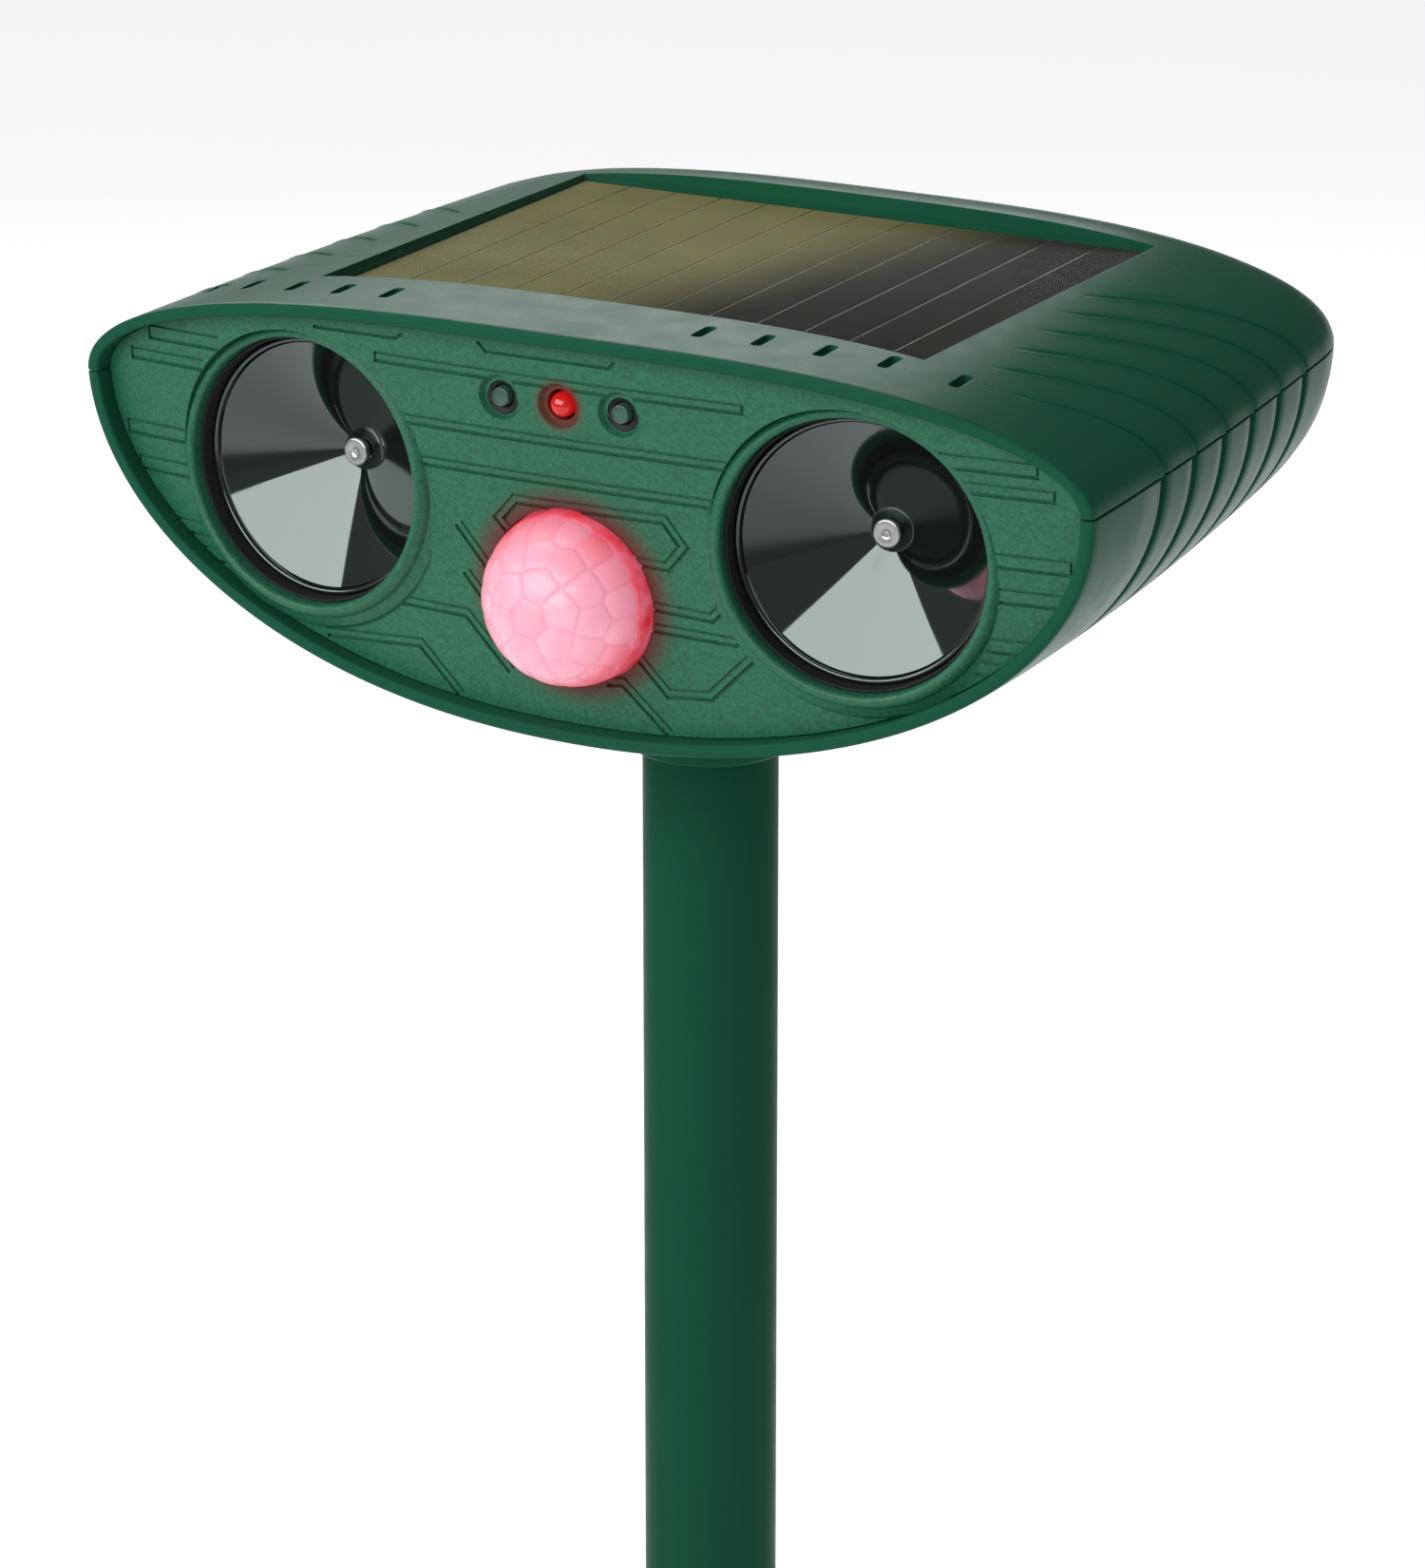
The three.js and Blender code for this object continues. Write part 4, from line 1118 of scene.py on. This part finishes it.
def lens_centres():
    """Directions of the lens facets, and where the plain border ring starts among them."""
    centres = [(0.0, 0.0, 1.0)]
    border = (26, 88, 0.1)
    for count, polar, start in ((6, 24, 0.3), (12, 45, 0.0), (17, 64, 0.2), border):
        polar = math.radians(polar)
        for i in range(count):
            turn = start + 2 * math.pi * i / count
            reach = math.sin(polar)
            centres.append((reach * math.cos(turn), reach * math.sin(turn), math.cos(polar)))
    return np.array(centres), len(centres) - border[0]


def facet_lens(piece, radius):
    """Sinks the seams between the cells of the lens and swells each cell; writes the finish's attributes."""
    centres, plain_from = lens_centres()
    count = len(piece.data.vertices)
    points = np.empty(count * 3)
    piece.data.vertices.foreach_get("co", points)
    points = points.reshape(-1, 3)
    length = np.linalg.norm(points, axis=1)
    outer = (length > radius - 0.2 * MM) & (points[:, 2] >= 0)
    unit = points / np.maximum(length, 1e-9)[:, None]
    gaps = np.arccos(np.clip(unit @ centres.T, -1, 1)) * radius
    order = np.argsort(gaps, axis=1)
    nearest = np.take_along_axis(gaps, order[:, :2], axis=1)
    border = (order[:, 0] >= plain_from) & (order[:, 1] >= plain_from)
    seam = np.where(border, 0, 1 - smooth((nearest[:, 1] - nearest[:, 0]) / (0.85 * MM)))
    swell = np.where(order[:, 0] >= plain_from, 0, 0.10 * MM * (nearest[:, 0] / (2.4 * MM)) ** 2)
    shrink = np.where(outer, 0.10 * MM * seam + swell, 0)
    piece.data.vertices.foreach_set("co", (points - unit * shrink[:, None]).ravel())
    values = {
        "lens_seam": seam * outer,
        "lens_height": np.clip(points[:, 2] / radius, 0, 1),
        "lens_cell": np.where(order[:, 0] >= plain_from, 0, np.abs(np.sin(order[:, 0] * 12.9898) * 43.7) % 1),
    }
    for key, value in values.items():
        attribute = piece.data.attributes.new(key, "FLOAT", "POINT")
        attribute.data.foreach_set("value", value.astype(np.float32))


class REPELLER_OT_sensor(bpy.types.Operator):
    """Model the faceted lens of the motion sensor"""

    bl_idname = "repeller.sensor"
    bl_label = "Sensor Lens"

    def execute(self, context):
        radius = DOME_RADIUS / MM
        outline = arc(0, 0, radius, 90, 0, 90) + [(radius, -4.2), (radius + 2, -4.2), (radius + 2, -5.2)]
        outline += [(radius - 1, -5.2)] + arc(0, 0, radius - 1, 0, 90, 24)
        outline[0] = (0, radius)
        outline[-1] = (0, radius - 1)
        lens = turned("sensor_lens", outline, Matrix(), 256)
        facet_lens(lens, DOME_RADIUS)
        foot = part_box("sensor_dome")[1].y - 5.2 * MM
        lens.data.transform(lying((0, foot, HEAD_Z + DOME_Z), 90))
        complete(lens, 60, "glowing_lens", "head", "lens_white", "sensor_dome")
        return {"FINISHED"}


class REPELLER_OT_lamps(bpy.types.Operator):
    """Model the red status lamp and the two flash lamps beside it"""

    bl_idname = "repeller.lamps"
    bl_label = "Lamps"

    def execute(self, context):
        foot = LAMP_HIGH.y
        length = (foot - LAMP_LOW.y) / MM
        bulb = [(0, length)] + arc(0, length - 1.75, 1.75, 88, 0, 14) + [(1.75, 1), (2.2, 1), (2.2, 0), (0, 0)]
        lens = [(0, length - 0.75), (1.02, length - 0.78)] + arc(1.14, length - 0.78, 0.14, 160, 0, 6)
        lens += [(1.36, length - 1.15), (1.45, length - 1.6), (1.5, 1), (2.2, 1), (2.2, 0), (0, 0)]
        ring = [(1.6, length - 3.2), (1.6, length - 1.75)] + arc(1.75, length - 1.75, 0.15, 180, 90, 4)
        ring += [(2.35, length - 1.35)] + arc(2.35, length - 1.5, 0.15, 90, 0, 4)
        ring += [(2.5, length - 2.0), (2.15, length - 2.1), (2.15, length - 3.2)]
        spots = (("flash_lamp_left", -LAMP_PITCH), ("status_lamp_red", 0.0), ("flash_lamp_right", LAMP_PITCH))
        for node, x in spots:
            place = lying((x, foot, HEAD_Z), 90)
            red = node == "status_lamp_red"
            finish = "red_lamp" if red else "clear_lamp"
            lamp = turned(f"{node}_body", bulb if red else lens, place, 64)
            complete(lamp, 30, finish, "head", finish, node)
            if not red:
                sleeve = turned(f"{node}_sleeve", ring, place, 64, closed=True)
                complete(sleeve, 30, "rubber", "head", "black_plastic")
        return {"FINISHED"}


# ---- Solar panel ----------------------------------------------------------------------------------

class REPELLER_OT_solar_panel(bpy.types.Operator):
    """Model the panel of twelve cells and its clear cover"""

    bl_idname = "repeller.solar_panel"
    bl_label = "Solar Panel"

    def execute(self, context):
        low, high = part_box("solar_cell_board")
        board = block("cell_board", low, (high.x, high.y, high.z - 0.1 * MM))
        soften(board, 0.15 * MM, 2)
        cell_count = 12
        line = 0.3 * MM
        margin = 0.5 * MM
        width = (high.x - low.x - 2 * margin - line * (cell_count - 1)) / cell_count
        cells = []
        for i in range(cell_count):
            x = low.x + margin + i * (width + line)
            cell = block("cell", (x, low.y + margin, high.z - 0.2 * MM), (x + width, high.y - margin, high.z))
            soften(cell, 0.03 * MM, 1)
            cells.append(cell)
        strips = join(cells, "solar_cells")
        complete(board, None, "silver_lines", "head", "solar_cells", "solar_cell_board")
        complete(strips, None, "solar_cells", "head", "solar_cells")
        cover = block("panel_cover", PANEL_LOW, PANEL_HIGH)
        soften(cover, 0.25 * MM, 3)
        complete(cover, 40, "clear_cover", "head", "solar_cover", "solar_cover")
        return {"FINISHED"}


# ---- Pole and spike -------------------------------------------------------------------------------

class REPELLER_OT_stake(bpy.types.Operator):
    """Model the pole and the ground spike"""

    bl_idname = "repeller.stake"
    bl_label = "Pole and Spike"

    def execute(self, context):
        radius = POLE_HIGH.x / MM
        top = POLE_HIGH.z / MM
        inner = radius - 1.25
        soft = 0.4
        outline = [(inner, soft)] + arc(inner + soft, soft, soft, 180, 270, 4)
        outline += arc(radius - soft, soft, soft, -90, 0, 4) + arc(radius - soft, top - soft, soft, 0, 90, 4)
        outline += arc(inner + soft, top - soft, soft, 90, 180, 4)
        pole = turned("pole", outline, Matrix(), 128, closed=True)
        complete(pole, 40, "pole_green", "stake", "pole_green", "pole_tube")
        complete(self.spike(), 35, "pole_green", "stake", "stake_green", "ground_spike")
        return {"FINISHED"}

    def spike(self):
        """Collar and spigot over two crossed blades that thin towards their edges."""
        low = SPIKE_LOW.z / MM
        outline = [(0, -8), (9.5, -8)] + arc(14.2, -3.5, 0.8, -90, 0, 4) + arc(14.2, -1.1, 0.8, 0, 90, 4)
        outline += [(8.4, -0.3), (8.15, 0), (8.15, 24)] + arc(7.35, 25, 0.8, 0, 90, 4) + [(0, 25.8)]
        spike = turned("spike", outline, Matrix(), 96)
        half = SPIKE_HIGH.x / MM - 2.5
        for turn in (0, math.pi / 2):
            edge = [(half, -3.5), (half, low * 0.5), (half * 0.86, low * 0.68), (half * 0.55, low * 0.85)]
            edge += [(0.6, low)]
            ring = edge + [(-x, z) for x, z in reversed(edge)]
            points = [(x * MM, -1.6 * MM, z * MM) for x, z in ring]
            blade = mesh_piece("blade", points, [], [tuple(range(len(points)))])
            thicken(blade, 3.2 * MM)
            blade.data.transform(Matrix.Rotation(turn, 4, "Z"))
            soften(blade, 0.9 * MM, 3, 60)
            combine(spike, blade, "UNION")
        return spike


# ---- Controls on the back -------------------------------------------------------------------------

class REPELLER_OT_back_controls(bpy.types.Operator):
    """Model the mode dial with its marks and the charging socket's cover"""

    bl_idname = "repeller.back_controls"
    bl_label = "Back Controls"

    def execute(self, context):
        self.dial()
        self.marks()
        self.cover()
        return {"FINISHED"}

    def dial(self):
        """Fluted disc with a grip across it and a groove for a pointer."""
        outline = [(0, -5), (2.6, -5), (2.6, 0), (8.6, 0)] + arc(8.6, 0.3, 0.3, -90, 0, 3)
        outline += arc(8.4, 1.8, 0.5, 0, 90, 5) + [(6.6, 2.3), (6.3, 2.05), (0, 2.05)]
        dial = turned("dial", outline, Matrix(), 96)
        flutes = []
        for i in range(24):
            turn = 2 * math.pi * i / 24
            x, y = 9.15 * MM * math.cos(turn), 9.15 * MM * math.sin(turn)
            flutes.append(bar_z("flute", 0.5 * MM, 0.35 * MM, 4 * MM, x, y, 12))
        combine(dial, join(flutes, "flutes"), "DIFFERENCE")
        grip = block("grip", mm(-1.6, -7.2, 1.5), mm(1.6, 7.2, 5.6))
        soften(grip, 0.7 * MM, 4)
        combine(dial, grip, "UNION")
        combine(dial, block("pointer", mm(-0.3, 2, 5.3), mm(0.3, 6.6, 6)), "DIFFERENCE")
        self.to_back(dial, 1 * MM)
        complete(dial, 30, "black_plastic", "dial", "black_plastic", "mode_dial")

    def to_back(self, piece, out):
        """Moves a piece from its own axis to the dial's, that far out of the back wall."""
        centre = (DIAL_LOW + DIAL_HIGH) / 2
        piece.data.transform(lying((centre.x, BACK_Y + out, centre.z), -90))

    def marks(self):
        """Plain raised ticks round the dial, one for each setting."""
        ticks = []
        for i in range(6):
            tick = block("tick", mm(-0.3, 10.4, -0.1), mm(0.3, 12.0, 0.3))
            soften(tick, 0.12 * MM, 2)
            tick.data.transform(Matrix.Rotation(math.radians(-30 * i), 4, "Z"))
            ticks.append(tick)
        row = join(ticks, "dial_marks")
        self.to_back(row, 0)
        complete(row, 30, "case_green", "head", "shell_green")

    def cover(self):
        """Rubber flap with a hinge bead, a raised border and a finger tab."""
        back = BACK_Y + 0.3 * MM
        half = (FLAP_HIGH.x - FLAP_LOW.x) / 2 / MM
        height = (FLAP_HIGH.z - FLAP_LOW.z) / MM
        foot = Vector(((FLAP_LOW.x + FLAP_HIGH.x) / 2, back, FLAP_LOW.z))
        flap = block("flap", foot + mm(-half, 0, 0), foot + mm(half, 1.4, 9))
        soften(flap, 0.45 * MM, 3)
        dish = block("dish", foot + mm(1.6 - half, 1.1, 2.4), foot + mm(half - 1.6, 3, 7.4))
        soften(dish, 0.25 * MM, 2)
        combine(flap, dish, "DIFFERENCE")
        tab = block("tab", foot + mm(-2.5, 0.3, 0), foot + mm(2.5, 2, 1.5))
        soften(tab, 0.4 * MM, 3)
        combine(flap, tab, "UNION")
        combine(flap, block("neck", foot + mm(-5, 0.5, 8), foot + mm(5, 1.3, height - 0.6)), "UNION")
        bead = primitive(
            "bead", bpy.ops.mesh.primitive_cylinder_add, vertices=32, radius=0.8 * MM, depth=12 * MM,
            location=foot + mm(0, 0.8, height - 0.8), rotation=(0, math.pi / 2, 0))
        soften(bead, 0.2 * MM, 2)
        combine(flap, bead, "UNION")
        low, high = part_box("charge_port")
        plug = block("plug", (low.x + 0.5 * MM, back - 1.4 * MM, low.z + 0.5 * MM),
                     (high.x - 0.5 * MM, back + 0.3 * MM, high.z - 0.5 * MM))
        soften(plug, 0.6 * MM, 3)
        combine(flap, plug, "UNION")
        complete(flap, 35, "rubber", "cover_flap", "black_rubber", "port_cover")


# ---- Screws and inner parts -----------------------------------------------------------------------

class REPELLER_OT_fixings(bpy.types.Operator):
    """Model the case screws with their cross recesses"""

    bl_idname = "repeller.fixings"
    bl_label = "Case Screws"

    def execute(self, context):
        thread = [(1.5, 4.2)]
        for i in range(16):
            z = 5 + i * 1.1
            thread += [(1.15, z), (1.5, z + 0.35), (1.5, z + 0.5), (1.15, z + 0.85)]
        outline = [(0, 0.2), (1.9, 0.3)] + arc(2.3, 1.0, 0.65, -70, 0, 4) + [(3.0, 1.3), (3.0, 2.4), (1.5, 2.4)]
        outline += thread + [(1.1, 22.9), (0, 24)]
        screw = turned("case_screw", outline, Matrix(), 32)
        for turn in (0, math.pi / 2):
            blade = block("blade", mm(-0.35, -1.5, -1), mm(0.35, 1.5, 1.5))
            blade.data.transform(Matrix.Rotation(turn, 4, "Z"))
            combine(screw, blade, "DIFFERENCE")
        for i in range(1, 5):
            low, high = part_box(f"case_screw_{i}")
            spot = Vector(((low.x + high.x) / 2, (low.y + high.y) / 2, low.z))
            placed = copy_piece(screw, f"case_screw_body_{i}", Matrix.Translation(spot))
            complete(placed, 30, "steel", "head", "steel", f"case_screw_{i}")
        bpy.data.objects.remove(screw)
        return {"FINISHED"}


INNER_FINISHES = {
    "rubber": ("solar_gasket", "speaker_gasket_left", "speaker_gasket_right", "dial_seal"),
    "black_plastic": ("speaker_driver_left", "speaker_driver_right", "battery_holder", "rotary_switch"),
    "steel": (
        "motion_sensor", "charge_port", "battery_contact_left", "battery_contact_right",
        "sensor_board_screw_left", "sensor_board_screw_right", "main_board_screw_left", "main_board_screw_right"),
    "circuit_board": ("sensor_board", "main_board"),
    "cell_sleeve": ("battery_cell",),
    "red_lead": ("speaker_lead_left", "speaker_lead_right", "solar_lead"),
    "black_lead": ("sensor_lead", "battery_lead"),
}


class REPELLER_OT_inner_parts(bpy.types.Operator):
    """Give the parts inside the head their finishes"""

    bl_idname = "repeller.inner_parts"
    bl_label = "Inner Parts"

    def execute(self, context):
        for finish, nodes in INNER_FINISHES.items():
            for node in nodes:
                paint(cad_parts[node], Finishes.get(finish))
        return {"FINISHED"}


# ---- Stage ----------------------------------------------------------------------------------------

def soft_light(name, place, size, power):
    """A rectangular soft light pointed at the head."""
    aim = Vector((0, 0, HEAD_Z))
    bpy.ops.object.select_all(action="DESELECT")
    bpy.ops.object.light_add(type="AREA", location=place)
    lamp = bpy.context.object
    lamp.name = name
    lamp.data.shape = "RECTANGLE"
    lamp.data.size, lamp.data.size_y = size
    lamp.data.energy = power
    lamp.rotation_euler = (aim - Vector(place)).to_track_quat("-Z", "Y").to_euler()
    lamp.visible_camera = False


class REPELLER_OT_stage(bpy.types.Operator):
    """Set up the floor, the surroundings, the soft lights and the camera"""

    bl_idname = "repeller.stage"
    bl_label = "Stage"

    def execute(self, context):
        view = context.scene.repeller_view
        self.floor()
        self.surroundings(context, view.world_light)
        soft_light("front_panel", (-0.32, -1.12, HEAD_Z + 0.52), (2.0, 0.8), view.key_power)
        soft_light("back_panel", (-0.75, 1.05, HEAD_Z + 0.42), (0.8, 0.30), view.back_power)
        soft_light("overhead", (-0.3, 0.1, HEAD_Z + 1.1), (0.8, 0.6), 3.5)
        self.camera(context, view)
        return {"FINISHED"}

    def floor(self):
        """A pale sheet, a little brighter behind the object."""
        floor = primitive("floor", bpy.ops.mesh.primitive_plane_add, size=14,
                          location=(0, 0, SPIKE_LOW.z - 0.2 * MM))
        paint(floor, studio_floor("floor_paper"))

    def surroundings(self, context, brightness):
        """Dim all round for the lighting, pale where the camera sees them."""
        world = bpy.data.worlds.new("surroundings")
        world.use_nodes = True
        tree = world.node_tree
        dim = tree.nodes["Background"]
        dim.inputs["Color"].default_value = (1, 1, 1, 1)
        dim.inputs["Strength"].default_value = brightness
        pale = tree.nodes.new("ShaderNodeBackground")
        pale.inputs["Color"].default_value = (1, 1, 1, 1)
        seen = tree.nodes.new("ShaderNodeLightPath")
        mixed = tree.nodes.new("ShaderNodeMixShader")
        tree.links.new(seen.outputs["Is Camera Ray"], mixed.inputs[0])
        tree.links.new(dim.outputs[0], mixed.inputs[1])
        tree.links.new(pale.outputs[0], mixed.inputs[2])
        tree.links.new(mixed.outputs[0], tree.nodes["World Output"].inputs["Surface"])
        context.scene.world = world
        context.scene.view_settings.view_transform = "Standard"

    def camera(self, context, view):
        turn, tilt = view.turn, view.tilt
        right = Vector((math.cos(turn), math.sin(turn), 0))
        back = Vector((math.sin(turn) * math.cos(tilt), -math.cos(turn) * math.cos(tilt), math.sin(tilt)))
        up = back.cross(right)
        aim = Vector((0, -44.6 * MM, HEAD_Z))
        place = aim + right * view.shift_right + up * view.shift_up + back * view.distance
        turned_frame = Matrix((right, up, back)).transposed().to_4x4()
        data = bpy.data.cameras.new("camera")
        data.lens = view.focal_length
        data.clip_end = 50
        camera = bpy.data.objects.new("camera", data)
        camera.matrix_world = Matrix.Translation(place) @ turned_frame
        context.scene.collection.objects.link(camera)
        context.scene.camera = camera


# ---- Panel and registration -----------------------------------------------------------------------

OPERATORS = (
    REPELLER_OT_stage,
    REPELLER_OT_case,
    REPELLER_OT_front_plate,
    REPELLER_OT_speakers,
    REPELLER_OT_sensor,
    REPELLER_OT_lamps,
    REPELLER_OT_solar_panel,
    REPELLER_OT_stake,
    REPELLER_OT_back_controls,
    REPELLER_OT_fixings,
    REPELLER_OT_inner_parts,
)


class REPELLER_PT_sidebar(bpy.types.Panel):
    """Lists the repeller's settings and modelling steps"""

    bl_label = "Solar Pest Repeller"
    bl_idname = "REPELLER_PT_sidebar"
    bl_space_type = "VIEW_3D"
    bl_region_type = "UI"
    bl_category = "Repeller"

    def draw(self, context):
        for group in (context.scene.repeller_finish, context.scene.repeller_view):
            for key in group.__annotations__:
                self.layout.prop(group, key)
        for operator in OPERATORS:
            self.layout.operator(operator.bl_idname)


CLASSES = (RepellerFinish, RepellerView, *OPERATORS, REPELLER_PT_sidebar)


def register():
    for cls in CLASSES:
        bpy.utils.register_class(cls)
    bpy.types.Scene.repeller_finish = bpy.props.PointerProperty(type=RepellerFinish)
    bpy.types.Scene.repeller_view = bpy.props.PointerProperty(type=RepellerView)


def unregister():
    del bpy.types.Scene.repeller_view
    del bpy.types.Scene.repeller_finish
    for cls in reversed(CLASSES):
        bpy.utils.unregister_class(cls)


def main():
    register()
    bpy.ops.repeller.stage()
    bpy.ops.repeller.case()
    bpy.ops.repeller.front_plate()
    bpy.ops.repeller.speakers()
    bpy.ops.repeller.sensor()
    bpy.ops.repeller.lamps()
    bpy.ops.repeller.solar_panel()
    bpy.ops.repeller.stake()
    bpy.ops.repeller.back_controls()
    bpy.ops.repeller.fixings()
    bpy.ops.repeller.inner_parts()
    bpy.ops.object.select_all(action="DESELECT")


if __name__ == "__main__":
    main()
